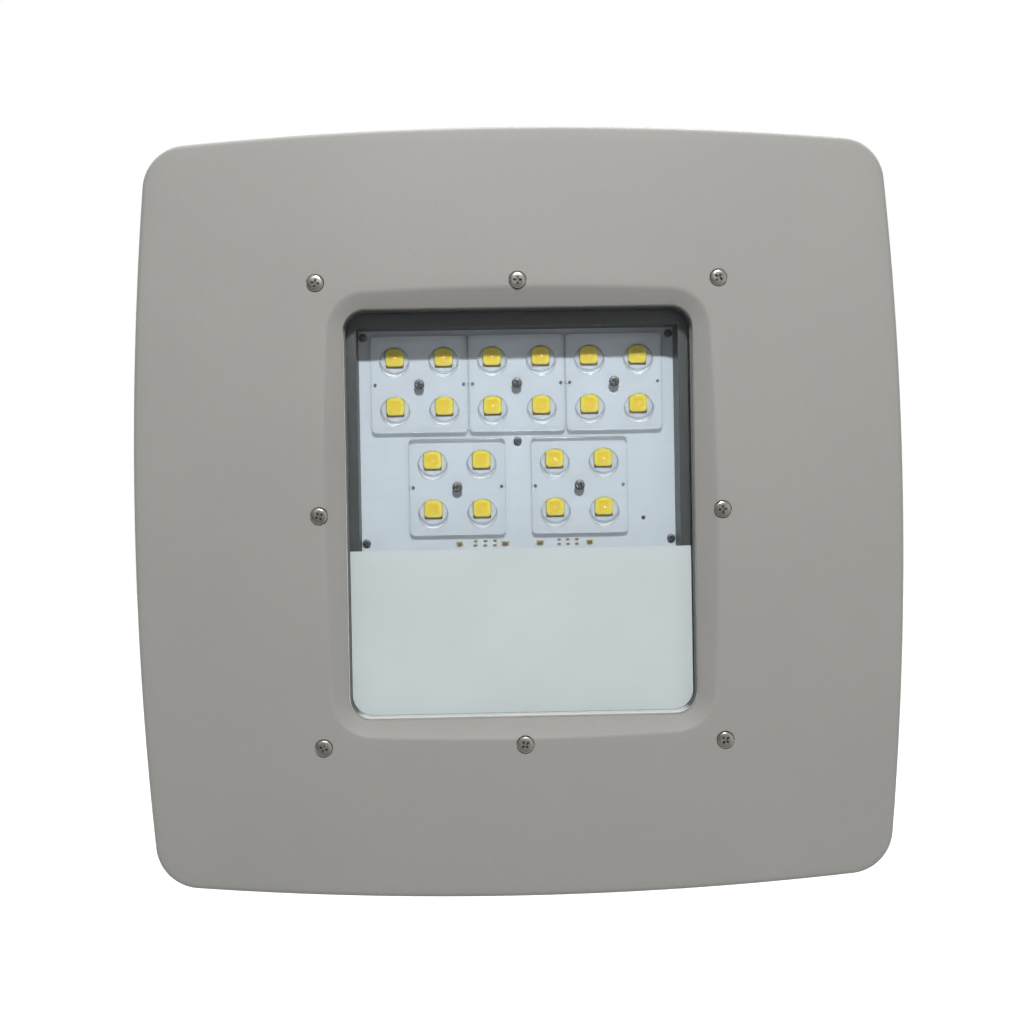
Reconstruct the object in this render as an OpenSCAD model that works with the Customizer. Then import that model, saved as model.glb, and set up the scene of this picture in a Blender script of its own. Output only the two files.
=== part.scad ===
// Canopy flood light: a square cast front frame with bowed sides and a glass window,
// a finned rear housing with the LED board and the driver, and a mounting plate that it hinges on.
// Every module draws its piece in plan, as the lamp is seen from the front: x to the right, y up,
// z out of the wall, with z = 0 on the wall. upright() then turns it so that the front looks along -Y.

/* [Front frame] */
// Width and height of the frame across the middles of its bowed sides
face_w = 380; // [360:5:400]
// Radius of each bowed side
bow_r = 2090; // [1500:10:4000]
// Radius of the frame's corners
corner_r = 22; // [16:1:34]
// Radius of the shallow dome of the front
dome_r = 2600; // [2200:50:5000]
// Thickness of the front
frame_t = 5; // [4:0.5:6]
// Thickness of the skirt round the edge
skirt_t = 4; // [3:0.5:6]
// How far the skirt reaches behind the housing's front face
skirt_lap = 3; // [1:0.5:6]
// Width of the solid rim round the window
rim_w = 18.75; // [17:0.25:22]
// Thickness of the ribs behind the front
rib_t = 3; // [2:0.5:4]
// Distance of the ribs from the middle lines
rib_x = 60; // [40:5:75]

/* [Window] */
// Corner radius of the window
window_r = 11; // [8:1:16]
// Height from the foot of the bevel to the top of the dome
crown_h = 8; // [7.5:0.5:9.5]
// How far the bevel runs outwards for each millimetre that it rises
bevel_slope = 1.7; // [1.4:0.05:1.9]
// Thickness of the lip at the foot of the bevel
lip_t = 6; // [5:0.5:7]
// Thickness of the glass
glass_t = 5; // [4:0.5:6]
// How far the glass reaches under the lip
glass_lap = 3.5; // [3:0.25:4]
// Thickness of the seal's front and rear lips
seal_t = 2; // [1.5:0.25:3]
// Thickness of the seal outside the glass edge
seal_wall = 2.2; // [1.5:0.1:2.6]
// How far the seal shows inside the window's edge
seal_show = 0.8; // [0.5:0.1:2]

/* [Frame screws] */
// Distance of the screws outside the window's edge
screw_out = 12.75; // [12.5:0.25:15]
// Radius of the screws' shanks
screw_r = 2.4; // [2:0.1:2.5]
// Radius of the screws' heads
screw_head_r = 4.5; // [4:0.1:5]
// Height of the screws' heads
screw_head_h = 2.6; // [2:0.1:3]
// How deep the heads' flat seats are sunk into the dome
screw_sink = 1.3; // [1:0.1:2]
// Length of the screws' shanks
screw_len = 34; // [28:1:38]

/* [LED board] */
// How far the LED board reaches past the liner's side walls
board_lap_side = 0.4; // [0:0.1:1]
// How far the LED board reaches past the liner's top wall
board_lap_top = 1.7; // [0:0.1:4]
// Thickness of the LED board
board_t = 1.6; // [1:0.1:2]
// Thickness of the thermal pad behind the board
pad_t = 0.5; // [0.3:0.1:1]
// Spacing of the LEDs in a module
led_pitch = 25; // [24:0.25:25.5]
// How far the LEDs sit above the middles of their places
led_rise = 1.4; // [0:0.1:2]
// Width of an LED
led_w = 7; // [5:0.5:7]
// Height of an LED
led_h = 1.2; // [0.8:0.1:1.5]
// Width of a lens module
module_w = 49.2; // [46:0.1:56]
// Thickness of a lens module's plate
module_t = 4; // [3:0.25:5]
// Radius of a lens dome
dome_lens_r = 8; // [7.5:0.25:9]
// Height of the dome's centre above the board
dome_lens_z = 2; // [1:0.25:3]
// How far the domes sit below the middles of the LEDs' places
dome_drop = 1.3; // [0:0.1:2]
// Radius of the hollow over each LED
lens_hollow_r = 5.6; // [5.3:0.1:6]
// Gap between the three modules of the top row
module_gap = 0.6; // [0.5:0.1:2]
// Gap between the two rows
row_gap = 3.5; // [1:0.5:8]
// Gap between the two modules of the lower row
middle_gap = 13.4; // [10:0.2:20]

/* [Board screws] */
// Distance of the top screws from the board's top edge
board_screw_drop = 7; // [6:0.25:10]
// Distance of the lower screws above the board's lower edge
board_screw_rise = 12; // [11:0.25:14]
// How far the middle screw lies below the midpoint of the two rows
board_screw_low_mid = 3.25; // [3:0.25:5]
// Radius of the board screws' shanks
board_screw_r = 1.4; // [1:0.1:1.5]
// Radius of the board screws' heads
board_head_r = 2.1; // [2:0.05:2.2]
// Height of the board screws' heads
board_head_h = 1.6; // [1.2:0.1:2]
// Radius of the lens screws' shanks
lens_screw_r = 1.2; // [1:0.1:1.5]
// Radius of the lens screws' heads
lens_head_r = 2.6; // [2.2:0.1:3]
// Height of the lens screws' heads
lens_head_h = 1.4; // [1:0.1:2]

/* [Connector] */
// Length of the connector
connector_w = 12; // [10:0.5:14]
// Width of the connector
connector_h = 5; // [4:0.25:8]
// Height of the connector
connector_d = 6.4; // [6:0.2:8]
// Room above and below the connector on the board's lower edge
connector_room = 0.25; // [0.1:0.05:2]
// Distance of the connector's middle from the box's side wall
connector_in = 20; // [18:0.5:30]

/* [Chamber liner and shield] */
// Room beside the top row inside the liner
liner_side = 6.2; // [6:0.1:9]
// Room above the top row inside the liner
liner_over = 2.9; // [0.5:0.1:5]
// Room below the lower row inside the liner
liner_under = 8; // [7:0.1:12]
// Width of the liner's ledges at both sides
ledge_side = 5.65; // [5:0.05:8]
// Width of the liner's ledge at the top
ledge_top = 7.95; // [7:0.05:10]
// Wall thickness of the liner
liner_t = 2; // [1:0.25:2.4]
// Depth from the front of the liner to the LED board
chamber_d = 22.5; // [20:0.5:26]
// How far the white shield's top edge reaches over the liner's foot
shield_over = 1.2; // [0.5:0.1:2]
// Thickness of the white shield
shield_t = 2; // [1:0.25:2]

/* [Rear housing] */
// Width of the housing
housing_w = 300; // [280:5:310]
// Height of the housing
housing_h = 320; // [310:5:330]
// Corner radius of the housing
housing_r = 30; // [20:2:40]
// Thickness of the housing's front flange
flange_t = 6; // [5:0.5:8]
// Wall thickness of the driver box
box_wall = 5; // [4:0.5:5]
// Thickness of the seat behind the LED board
seat_t = 5; // [4:0.5:7]
// Height of the LED seat above the driver box's floor
seat_h = 20; // [18:0.5:22]
// Thickness of the driver box's floor
floor_t = 4; // [3:0.5:6]
// How far the LED seat reaches below the LED board
seat_under = 1; // [0.5:0.5:4]
// Thickness of a fin
fin_t = 2.4; // [2:0.2:3]
// Spacing of the fins
fin_pitch = 14; // [13:0.5:15]
// How far the fins stand out behind the driver box
fin_proud = 8; // [4:1:8]
// Gap between the wall plate and the fins
fin_gap = 13; // [12:0.5:16]
// Radius of the plugged conduit hubs on both sides
hub_r = 15; // [14:0.5:17]
// Radius of the conduit hubs' bores
hub_bore_r = 10.4; // [10:0.1:10.6]
// Distance of the conduit hubs below the driver box's top wall
hub_drop = 38; // [30:1:42]
// Length of the plugs in the conduit hubs
plug_len = 14; // [10:1:20]
// Width across the flats of the plugs' sockets
socket_af = 10; // [8:0.5:12]
// Depth of the plugs' sockets
socket_depth = 7; // [5:0.5:8]
// Radius of the bosses behind the frame screws
boss_r = 8.5; // [8.2:0.1:9]
// Length of the bosses behind the frame screws
boss_len = 24; // [20:1:26]

/* [Driver box] */
// Length of the driver
driver_w = 126; // [120:2:130]
// Width of the driver
driver_h = 42; // [38:1:48]
// Height of the driver
driver_d = 32; // [26:1:34]
// Gap between the driver and the terminal block's row above it
driver_gap = 5; // [3:0.5:8]
// Gap between the driver and the box's lower wall
driver_room = 3; // [2:0.5:8]
// Length of each driver end cap
cap_t = 4; // [3:0.5:5]
// Length of the driver's feet
foot_len = 9; // [8.5:0.5:11]
// Thickness of the driver's feet
foot_t = 2; // [1.5:0.1:2.2]
// Radius of the driver screws' shanks
driver_screw_r = 1.9; // [1.5:0.1:2.2]
// Depth of the driver screws in the floor
driver_screw_depth = 3; // [2:0.25:3.5]
// Radius of an internal lead
lead_r = 1.2; // [0.8:0.1:1.4]
// Bend radius of an internal lead
lead_bend = 6; // [5:0.5:7]
// Length of the terminal block
block_w = 30; // [28:1:32]
// Depth of the terminal block
block_h = 18; // [16:1:22]
// Height of the terminal block
block_d = 18; // [16:1:19]
// Spacing of the terminal block's screw wells
well_pitch = 8; // [7:0.5:9]
// Radius of the terminal block's screw wells
well_r = 2.6; // [2:0.1:3]
// Depth of the terminal block's screw wells
well_depth = 5; // [4:0.5:6]
// Length of the surge protector
surge_w = 34; // [30:1:38]
// Width of the surge protector
surge_h = 18; // [16:1:22]
// Height of the surge protector
surge_d = 22; // [19:1:26]
// Distance of the terminal block and surge protector from the middle
strip_x = 46; // [44:0.5:48]
// Gap between them and the driver box's top wall
strip_gap = 1; // [0.5:0.5:3]

/* [Vent and earth screws] */
// Distance of the breather vent from the box's side wall
vent_in = 12; // [10:0.5:14]
// Distance of the breather vent below the driver box's top wall
vent_drop = 10; // [9:0.5:14]
// Radius of the vent's thread
vent_r = 3.5; // [3:0.25:4]
// Radius of the vent's head
vent_head_r = 6.5; // [5:0.25:7]
// Height of the vent's head
vent_head_h = 3; // [2:0.5:5]
// Radius of the earth screws' shanks
earth_r = 2; // [1.5:0.1:2.4]
// Radius of the earth screws' heads
earth_head_r = 3.6; // [3:0.1:4]
// Height of the earth screws' heads
earth_head_h = 2.2; // [1.8:0.1:3]
// Distance of the driver box's earth screw from the box's side wall
inner_earth_in = 10; // [8:0.5:12]
// Depth of the driver box's earth screw in the floor
inner_earth_depth = 3; // [2:0.25:3.5]

/* [Supply inlet] */
// Radius of the inlet's cable bore
inlet_bore_r = 4.5; // [3.5:0.25:5]
// Wall thickness of the rubber bush round the cable bore
bush_t = 1.5; // [1:0.1:2]
// Radius of the gland's thread
gland_r = 8; // [7.5:0.25:8.5]
// Width across the flats of the gland's hexagons
gland_hex = 20; // [19:0.5:22]
// Height of the gland's hexagons
gland_hex_h = 5; // [4:0.5:6]
// Length of the gland behind its hexagon
gland_tail = 5; // [4:0.5:6]

/* [Mounting plate] */
// Width of the plate
plate_w = 200; // [196:2:216]
// How far the plate reaches above the hinge pins
plate_over = 9; // [9:1:11]
// How far the plate's foot lies inside the housing's lower edge
plate_in = 8; // [6:0.5:9]
// Thickness of the plate and its flanges
plate_t = 3; // [2.5:0.5:3]
// Corner radius of the plate
plate_r = 12; // [6:1:16]
// Distance of the fixing slots from the plate's sides
slot_in = 20; // [16:1:24]
// Distance of the top fixing slots from the plate's top edge
slot_drop = 30; // [28:1:40]
// Half width of a fixing slot
slot_r = 3.5; // [3:0.25:4.5]
// Length of a fixing slot
slot_len = 18; // [14:1:20]
// Distance between the junction box slots
jbox_dx = 89; // [83:0.5:96]
// Half width of a junction box slot
jbox_r = 2.6; // [2.2:0.1:3]
// Length of a junction box slot
jbox_len = 14; // [10:1:16]
// Radius of the wire hole
wire_hole_r = 27; // [22:1:30]
// Height of the earth screw above the lamp's middle
earth_y = 30; // [10:5:60]

/* [Hinge] */
// Distance of the hinge pins from the housing's top edge
hinge_in = 19; // [18:0.5:20]
// Distance of the hinge pins from the wall
hinge_z = 11; // [10.5:0.25:12]
// Radius of the hinge pins
pin_r = 3; // [2.5:0.25:3.5]
// Distance from the middle to the lug of each hinge
lug_x = 72; // [70:0.5:74]
// Thickness of each hinge lug
lug_t = 9.7; // [8:0.1:10]
// Radius of the rounded end of each plate ear
ear_r = 8; // [7:0.5:9]
// How far the lamp swings from the plate
swing = 50; // [40:1:52]

/* [Hinge pin ends] */
// Radius of the pins' heads
pin_head_r = 5; // [4:0.25:6]
// Height of the pins' heads
pin_head_h = 2.5; // [2:0.25:3]
// Radius of the pins at the bottom of the clip grooves
groove_r = 2.2; // [1.8:0.1:2.3]
// Length of the pins past the clips
pin_tail = 3; // [2:0.5:4]
// Thickness of the clips
clip_t = 1; // [0.8:0.1:1.4]
// Radius of the clips
clip_r = 5; // [4.5:0.25:6]

/* [Thumbscrews] */
// Distance of each thumbscrew from the middle
thumb_x = 45; // [42:0.5:46]
// Distance of the thumbscrews from the wall
thumb_z = 13; // [12.5:0.5:14]
// Radius of the thumbscrews' shanks
thumb_r = 3; // [2.5:0.25:3.25]
// Radius of the thumbscrews' knobs
knob_r = 9; // [8:0.5:9]
// Height of the thumbscrews' knobs
knob_h = 11; // [8:0.5:14]
// Number of finger grooves round a knob
knob_grooves = 10; // [6:1:12]
// Width of each foot of the housing that a thumbscrew enters
foot_w = 16; // [14:0.5:16]
// Depth of each foot along the thumbscrew
foot_h = 14; // [12:0.5:16]

/* [Hidden] */

// Fineness of small, middle and very large circles
$fn = 48;
corner_fn = 96;
bow_fn = 1440;
dome_fn = 180;
lead_fn = 24;
// A little extra length that lets a cut pass right through a face
eps = 1;
// Gap of a turning or threaded fit, on the radius
fit_gap = 0.05;
// Gap between pieces that lie against each other
seat_gap = 0.3;
// Gap between pieces that must not rub
free_gap = 0.4;
// Gap round a screw in a plain hole, on the radius
hole_gap = 0.35;
// Gap between the shield and the glass
shield_gap = 0.1;
// Gap beside a thumbscrew's shank in its open slot
thumb_gap = 0.6;
// Room past a screw's tip in its blind hole, and the metal left behind that
tip_room = 0.5;
hole_floor = 1;
// Turn from one frame screw's recess to the next
screw_turn = 37;
// How much smaller the box is than the window
cavity_inset = 0.5;
// How much the fins are cut back beside the hinge: along y below the pins, and in depth
hinge_zone_below = 13;
hinge_zone_cut = 10;

// Heights above the wall, from the wall outwards
fin_tip_z = plate_t + fin_gap;
box_back_z = fin_tip_z + fin_proud;
floor_z = box_back_z + floor_t;
seat_z = floor_z + seat_h;
seat_back_z = seat_z - seat_t;
board_back_z = seat_z + pad_t;
board_z = board_back_z + board_t;
liner_front_z = board_z + chamber_d;
shield_z = liner_front_z + seat_gap;
glass_z = shield_z + shield_t + shield_gap;
rim_z = glass_z - seal_t;
flange_back_z = rim_z - flange_t;
lip_back_z = glass_z + glass_t + seal_t;
lip_z = lip_back_z + lip_t;
apex_z = lip_z + crown_h;
skirt_z = rim_z - skirt_lap;

// Number of fins that fit across the housing
fin_n = 2 * floor((housing_w / 2 - fin_t) / fin_pitch + 0.5);

// Widths across the window: the top row's three modules, the liner round them, the window and
// the LED board
top_count = 3;
row_w = top_count * module_w + (top_count - 1) * module_gap;
liner_w = row_w + 2 * liner_side;
window_w = liner_w + 2 * ledge_side;
board_w = liner_w + 2 * liner_t + 2 * board_lap_side;

// Height of the window, added up from its top edge to its lower edge: the liner's ledge, the two
// rows of modules, the board's lower edge with the connector, the driver box's top wall, the
// terminal block's row and the driver
board_under = liner_under + liner_t + connector_h + 2 * connector_room;
strip_h = max(block_h, surge_h);
window_h = ledge_top + liner_over + 2 * module_w + row_gap + board_under + seat_under + floor_t
    + strip_gap + strip_h + driver_gap + driver_h + driver_room + cavity_inset / 2;

// Heights above the lamp's middle, from the window's top edge down
liner_top = window_h / 2 - ledge_top;
row_a_y = liner_top - liner_over - module_w / 2;
row_b_y = row_a_y - module_w - row_gap;
row_foot = row_b_y - module_w / 2;
board_top = liner_top + liner_t + board_lap_top;
board_foot = row_foot - board_under;
step_y = board_foot - seat_under - floor_t;

// Distances below the lamp's middle
liner_foot = liner_under - row_foot;
shield_top = liner_foot - shield_over;
seat_foot = seat_under - board_foot;
inlet_y = gland_hex / 2 - step_y;
driver_y = strip_gap + strip_h + driver_gap + driver_h / 2 - step_y;

// Outlines in plan
cavity_w = window_w - cavity_inset;
cavity_h = window_h - cavity_inset;
cavity_r = window_r;
glass_w = window_w + 2 * glass_lap;
glass_h = window_h + 2 * glass_lap;
glass_r = window_r + glass_lap;
hinge_y = housing_h / 2 - hinge_in;
hinge_zone_y = hinge_y - hinge_zone_below;
hinge_zone_z = fin_tip_z + hinge_zone_cut;

// Places of the frame screws, the lens modules and the board screws
screw_dx = window_w + 2 * screw_out;
screw_dy = window_h + 2 * screw_out;
screw_places = [for (i = [-1:1], j = [-1:1]) if (i != 0 || j != 0) [i * screw_dx / 2, j * screw_dy / 2]];
module_places = concat(
    [for (i = [0:top_count - 1]) [(i - (top_count - 1) / 2) * (module_w + module_gap), row_a_y]],
    [for (i = [-1, 1]) [i * (module_w + middle_gap) / 2, row_b_y]]);
board_screw_x = liner_w / 2 - seat_gap - board_head_r;
board_screw_top = board_top - board_screw_drop;
board_screw_low = board_foot + board_screw_rise;
board_screw_mid = (row_a_y + row_b_y) / 2 - board_screw_low_mid;
board_screw_places = [[-board_screw_x, board_screw_top], [board_screw_x, board_screw_top],
    [-board_screw_x, board_screw_low], [board_screw_x, board_screw_low], [0, board_screw_mid]];
board_screw_len = board_t + pad_t + seat_t - tip_room - hole_floor;

// Height of the dome over a place
function dome_z(p) = apex_z - dome_r + sqrt(dome_r * dome_r - p[0] * p[0] - p[1] * p[1]);

// Turns the plan upright, so that the front looks along -Y and the plan's y points up
module upright() {
    rotate([90, 0, 0])
        children();
}

// Extrudes a side profile of y and z along x
module along_x(x0, length) {
    translate([x0, 0, 0])
        rotate([90, 0, 90])
            linear_extrude(length)
                children();
}

// A copy on the left and a copy on the right
module both_sides() {
    children();
    mirror([1, 0, 0])
        children();
}

// Rectangle with rounded corners
module rounded_rect(w, h, r) {
    square([w - 2 * r, h], center = true);
    square([w, h - 2 * r], center = true);
    for (i = [-1, 1], j = [-1, 1])
        translate([i * (w / 2 - r), j * (h / 2 - r)])
            circle(r, $fn = corner_fn);
}

// Plate with rounded corners from z0 to z1
module rounded_block(w, h, r, z0, z1) {
    translate([0, 0, z0])
        linear_extrude(z1 - z0)
            rounded_rect(w, h, r);
}

// Slot along x
module slot(length, r) {
    square([length - 2 * r, 2 * r], center = true);
    for (i = [-1, 1])
        translate([i * (length / 2 - r), 0])
            circle(r);
}

// Square with four bowed sides and rounded corners. Each corner circle touches both of its sides
// from inside, and the turned square trims the sides where the corner circles take over.
module bowed_square(w, bow, r) {
    a = bow - w / 2;
    k = (sqrt(2 * (bow - r) * (bow - r) - a * a) - a) / 2;
    turn = atan2(k, k + a);
    touch = [bow * cos(turn) - a, bow * sin(turn)];
    intersection() {
        for_sides(a, bow);
        rotate(45)
            square((touch[0] + touch[1]) * sqrt(2), center = true);
    }
    for (i = [-1, 1], j = [-1, 1])
        translate([i * k, j * k])
            circle(r, $fn = corner_fn);
}

// The space inside four large circles
module for_sides(a, bow) {
    intersection() {
        translate([-a, 0]) circle(bow, $fn = bow_fn);
        translate([a, 0]) circle(bow, $fn = bow_fn);
        translate([0, -a]) circle(bow, $fn = bow_fn);
        translate([0, a]) circle(bow, $fn = bow_fn);
    }
}

// The space under a shallow dome, wide and deep enough to hold the whole frame
module dome_space(apex, r) {
    depth = 2 * (apex_z - skirt_z);
    reach = face_w;
    translate([0, 0, apex - r])
        rotate_extrude($fn = dome_fn)
            intersection() {
                circle(r, $fn = bow_fn);
                translate([0, r - depth])
                    square([reach, depth + eps]);
            }
}

// Rounded opening whose walls lean outwards as they rise
module bevelled_opening(w, h, r, rise, slope) {
    run = rise * slope;
    x = w / 2 - r;
    y = h / 2 - r;
    for (i = [-1, 1], j = [-1, 1])
        translate([i * x, j * y, 0])
            cylinder(h = rise, r1 = r, r2 = r + run, $fn = corner_fn);
    along_x(-x, 2 * x)
        polygon([[-h / 2, 0], [h / 2, 0], [h / 2 + run, rise], [-h / 2 - run, rise]]);
    rotate([0, 0, 90])
        along_x(-y, 2 * y)
            polygon([[-w / 2, 0], [w / 2, 0], [w / 2 + run, rise], [-w / 2 - run, rise]]);
}

// Pan-head screw with a cross recess, pointing away from the viewer, seated at z = 0
module pan_screw(shank_r, head_r, head_h, length) {
    recess_w = head_r * 0.22;
    recess_l = head_r * 1.15;
    crown_r = (head_r * head_r + head_h * head_h) / (2 * head_h) * 1.25;
    difference() {
        union() {
            intersection() {
                cylinder(h = head_h, r = head_r);
                translate([0, 0, head_h - crown_r])
                    sphere(crown_r, $fn = corner_fn);
            }
            translate([0, 0, -length])
                cylinder(h = length + head_h / 2, r = shank_r);
        }
        for (a = [0, 90])
            rotate(a)
                translate([-recess_l / 2, -recess_w / 2, head_h * 0.35])
                    cube([recess_l, recess_w, head_h]);
    }
}

// Front frame: domed shell with a skirt, a rim round the window, ribs and screw holes
module front_frame() {
    color([0.6, 0.59, 0.57])
        upright()
            difference() {
                union() {
                    frame_shell();
                    frame_stiffening();
                }
                translate([0, 0, lip_z])
                    bevelled_opening(window_w, window_h, window_r, crown_h, bevel_slope);
                rounded_block(window_w, window_h, window_r, rim_z - eps, lip_z + eps);
                rounded_block(glass_w + 2 * seal_wall, glass_h + 2 * seal_wall, glass_r + seal_wall,
                    rim_z - eps, lip_back_z);
                for (p = screw_places) {
                    translate([p[0], p[1], rim_z - eps])
                        cylinder(h = apex_z - rim_z, r = screw_r + hole_gap);
                    translate([p[0], p[1], dome_z(p) - screw_sink])
                        cylinder(h = crown_h, r = screw_head_r + hole_gap);
                }
            }
}

module frame_shell() {
    difference() {
        intersection() {
            translate([0, 0, skirt_z])
                linear_extrude(apex_z - skirt_z)
                    bowed_square(face_w, bow_r, corner_r);
            dome_space(apex_z, dome_r);
        }
        intersection() {
            translate([0, 0, skirt_z - eps])
                linear_extrude(apex_z - skirt_z)
                    bowed_square(face_w - 2 * skirt_t, bow_r - skirt_t, corner_r - skirt_t);
            dome_space(apex_z - frame_t, dome_r - frame_t);
        }
    }
}

// Rim round the window and the ribs from it to the skirt, up to inside the dome's shell
module frame_stiffening() {
    rim_out_w = window_w + 2 * rim_w;
    rim_out_h = window_h + 2 * rim_w;
    rib_z = rim_z + seat_gap;
    reach = face_w / 2 - skirt_t / 2;
    intersection() {
        union() {
            rounded_block(rim_out_w, rim_out_h, window_r + rim_w / 2, rim_z, apex_z);
            both_sides() {
                for (y = [-rib_x, rib_x])
                    translate([rim_out_w / 2 - eps, y - rib_t / 2, rib_z])
                        cube([reach - rim_out_w / 2 + eps, rib_t, apex_z - rib_z]);
                for (j = [-1, 1])
                    translate([rib_x - rib_t / 2, min(j * (rim_out_h / 2 - eps), j * reach), rib_z])
                        cube([rib_t, reach - rim_out_h / 2 + eps, apex_z - rib_z]);
            }
        }
        dome_space(apex_z - frame_t / 2, dome_r - frame_t / 2);
    }
}

// Eight screws that hold the frame on the housing
module frame_screws() {
    color([0.72, 0.72, 0.7])
        upright()
            for (i = [0:len(screw_places) - 1])
                let (p = screw_places[i])
                    translate([p[0], p[1], dome_z(p) - screw_sink])
                        rotate(i * screw_turn)
                            pan_screw(screw_r, screw_head_r, screw_head_h, screw_len);
}

// Clear glass of the window
module window_glass() {
    color([0.85, 0.93, 0.93, 0.35])
        upright()
            rounded_block(glass_w, glass_h, glass_r, glass_z, glass_z + glass_t);
}

// Channel seal round the glass edge
module glass_seal() {
    inner_w = window_w - 2 * seal_show;
    inner_h = window_h - 2 * seal_show;
    color([0.12, 0.12, 0.13])
        upright()
            difference() {
                rounded_block(glass_w + 2 * seal_wall, glass_h + 2 * seal_wall, glass_r + seal_wall,
                    rim_z, lip_back_z);
                rounded_block(inner_w, inner_h, window_r - seal_show, rim_z - eps, lip_back_z + eps);
                rounded_block(glass_w, glass_h, glass_r, glass_z, glass_z + glass_t);
            }
}

// White shield right behind the glass, over the driver box
module driver_shield() {
    shield_w = window_w - 2 * seal_show - seat_gap;
    shield_low = window_h / 2 - seal_show - seat_gap / 2;
    round_r = window_r - seal_show;
    color([0.78, 0.81, 0.8])
        upright()
            intersection() {
                rounded_block(shield_w, 2 * shield_low, round_r, shield_z, shield_z + shield_t);
                translate([-shield_w, -2 * shield_low - shield_top, shield_z - eps])
                    cube([2 * shield_w, 2 * shield_low, shield_t + 2 * eps]);
            }
}

// Dark liner round the LED board: a ledge under the glass and walls back to the board
module chamber_liner() {
    outer_w = cavity_w - 2 * seat_gap;
    top = cavity_h / 2 - seat_gap;
    back_z = board_z;
    color([0.17, 0.17, 0.18])
        upright()
            difference() {
                union() {
                    intersection() {
                        rounded_block(outer_w, 2 * top, cavity_r, liner_front_z - liner_t, liner_front_z);
                        translate([-outer_w, -top, liner_front_z - liner_t - eps])
                            cube([2 * outer_w, 2 * top + eps, liner_t + 2 * eps]);
                    }
                    translate([-liner_w / 2 - liner_t, -liner_foot - liner_t, back_z])
                        cube([liner_w + 2 * liner_t, liner_top + liner_foot + 2 * liner_t,
                            liner_front_z - back_z - liner_t / 2]);
                }
                translate([-liner_w / 2, -liner_foot, back_z - eps])
                    cube([liner_w, liner_top + liner_foot, chamber_d + 2 * eps]);
                translate([-outer_w, -2 * top - liner_foot - liner_t, back_z - eps])
                    cube([2 * outer_w, 2 * top, chamber_d + 2 * eps]);
            }
}

// Thermal pad between the board and the housing's seat
module thermal_pad() {
    pad_inset = 4;
    color([0.45, 0.5, 0.55])
        upright()
            difference() {
                translate([-board_w / 2 + pad_inset, board_foot + pad_inset, seat_z])
                    cube([board_w - 2 * pad_inset, board_top - board_foot - 2 * pad_inset, pad_t]);
                for (p = board_screw_places)
                    translate([p[0], p[1], seat_z - eps])
                        cylinder(h = pad_t + 2 * eps, r = board_screw_r + hole_gap);
            }
}

// White LED board
module led_board() {
    round_r = 3;
    color([0.85, 0.88, 0.9])
        upright()
            difference() {
                translate([0, (board_top + board_foot) / 2, 0])
                    rounded_block(board_w, board_top - board_foot, round_r, board_back_z, board_z);
                for (p = board_screw_places)
                    translate([p[0], p[1], board_back_z - eps])
                        cylinder(h = board_t + 2 * eps, r = board_screw_r + hole_gap);
            }
}

// One clear lens module: a plate with four domes, a hollow over each LED and a screw hole
module lens_module(p) {
    round_r = 2.5;
    color([0.85, 0.88, 0.9, 0.5])
        upright()
            translate([p[0], p[1], board_z])
                difference() {
                    union() {
                        rounded_block(module_w, module_w, round_r, 0, module_t);
                        at_leds(-dome_drop)
                            intersection() {
                                translate([0, 0, dome_lens_z])
                                    sphere(dome_lens_r, $fn = corner_fn);
                                cylinder(h = dome_lens_r * 2, r = dome_lens_r + eps);
                            }
                    }
                    at_leds(led_rise)
                        sphere(lens_hollow_r);
                    translate([0, 0, -eps])
                        cylinder(h = module_t + 2 * eps, r = lens_screw_r + hole_gap);
                }
}

// The four LED places of a module, moved upwards
module at_leds(up) {
    for (i = [-1, 1], j = [-1, 1])
        translate([i * led_pitch / 2, j * led_pitch / 2 + up, 0])
            children();
}

module lens_module_1() lens_module(module_places[0]);
module lens_module_2() lens_module(module_places[1]);
module lens_module_3() lens_module(module_places[2]);
module lens_module_4() lens_module(module_places[3]);
module lens_module_5() lens_module(module_places[4]);

// Twenty LEDs, four under each module
module led_chips() {
    color([0.95, 0.8, 0.2])
        upright()
            for (p = module_places)
                translate([p[0], p[1], board_z])
                    at_leds(led_rise)
                        translate([-led_w / 2, -led_w / 2, 0])
                            cube([led_w, led_w, led_h]);
}

// Screws through the middles of the lens modules
module lens_screws() {
    color([0.6, 0.6, 0.6])
        upright()
            for (p = module_places)
                translate([p[0], p[1], board_z + module_t])
                    pan_screw(lens_screw_r, lens_head_r, lens_head_h, module_t);
}

// Screws that hold the board on its seat
module board_screws() {
    color([0.6, 0.6, 0.6])
        upright()
            for (p = board_screw_places)
                translate([p[0], p[1], board_z])
                    pan_screw(board_screw_r, board_head_r, board_head_h, board_screw_len);
}

// Connector on the board, behind the shield, where the two driver leads end
connector_x = cavity_w / 2 - connector_in;
connector_y = board_foot + connector_room + connector_h / 2;
module board_connector() {
    color([0.93, 0.93, 0.9])
        upright()
            translate([connector_x - connector_w / 2, connector_y - connector_h / 2, board_z])
                cube([connector_w, connector_h, connector_d]);
}

// Small parts in a row on the board, just above the liner's foot: place, width and height
board_part_rise = 3.3;
board_part_row = board_part_rise - liner_foot;
board_part_places = [[-30, 2, 2], [-22, 3, 2.4], [-14.5, 1.6, 3], [-11, 1.6, 3], [-6.5, 2, 2],
    [11, 3, 2], [20, 1.6, 3], [24, 1.6, 3], [29, 2.4, 2], [35.5, 3, 2.4]];
module board_parts() {
    part_d = 1;
    color([0.45, 0.38, 0.28])
        upright()
            for (p = board_part_places)
                translate([p[0] - p[1] / 2, board_part_row - p[2] / 2, board_z])
                    cube([p[1], p[2], part_d]);
}

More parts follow.
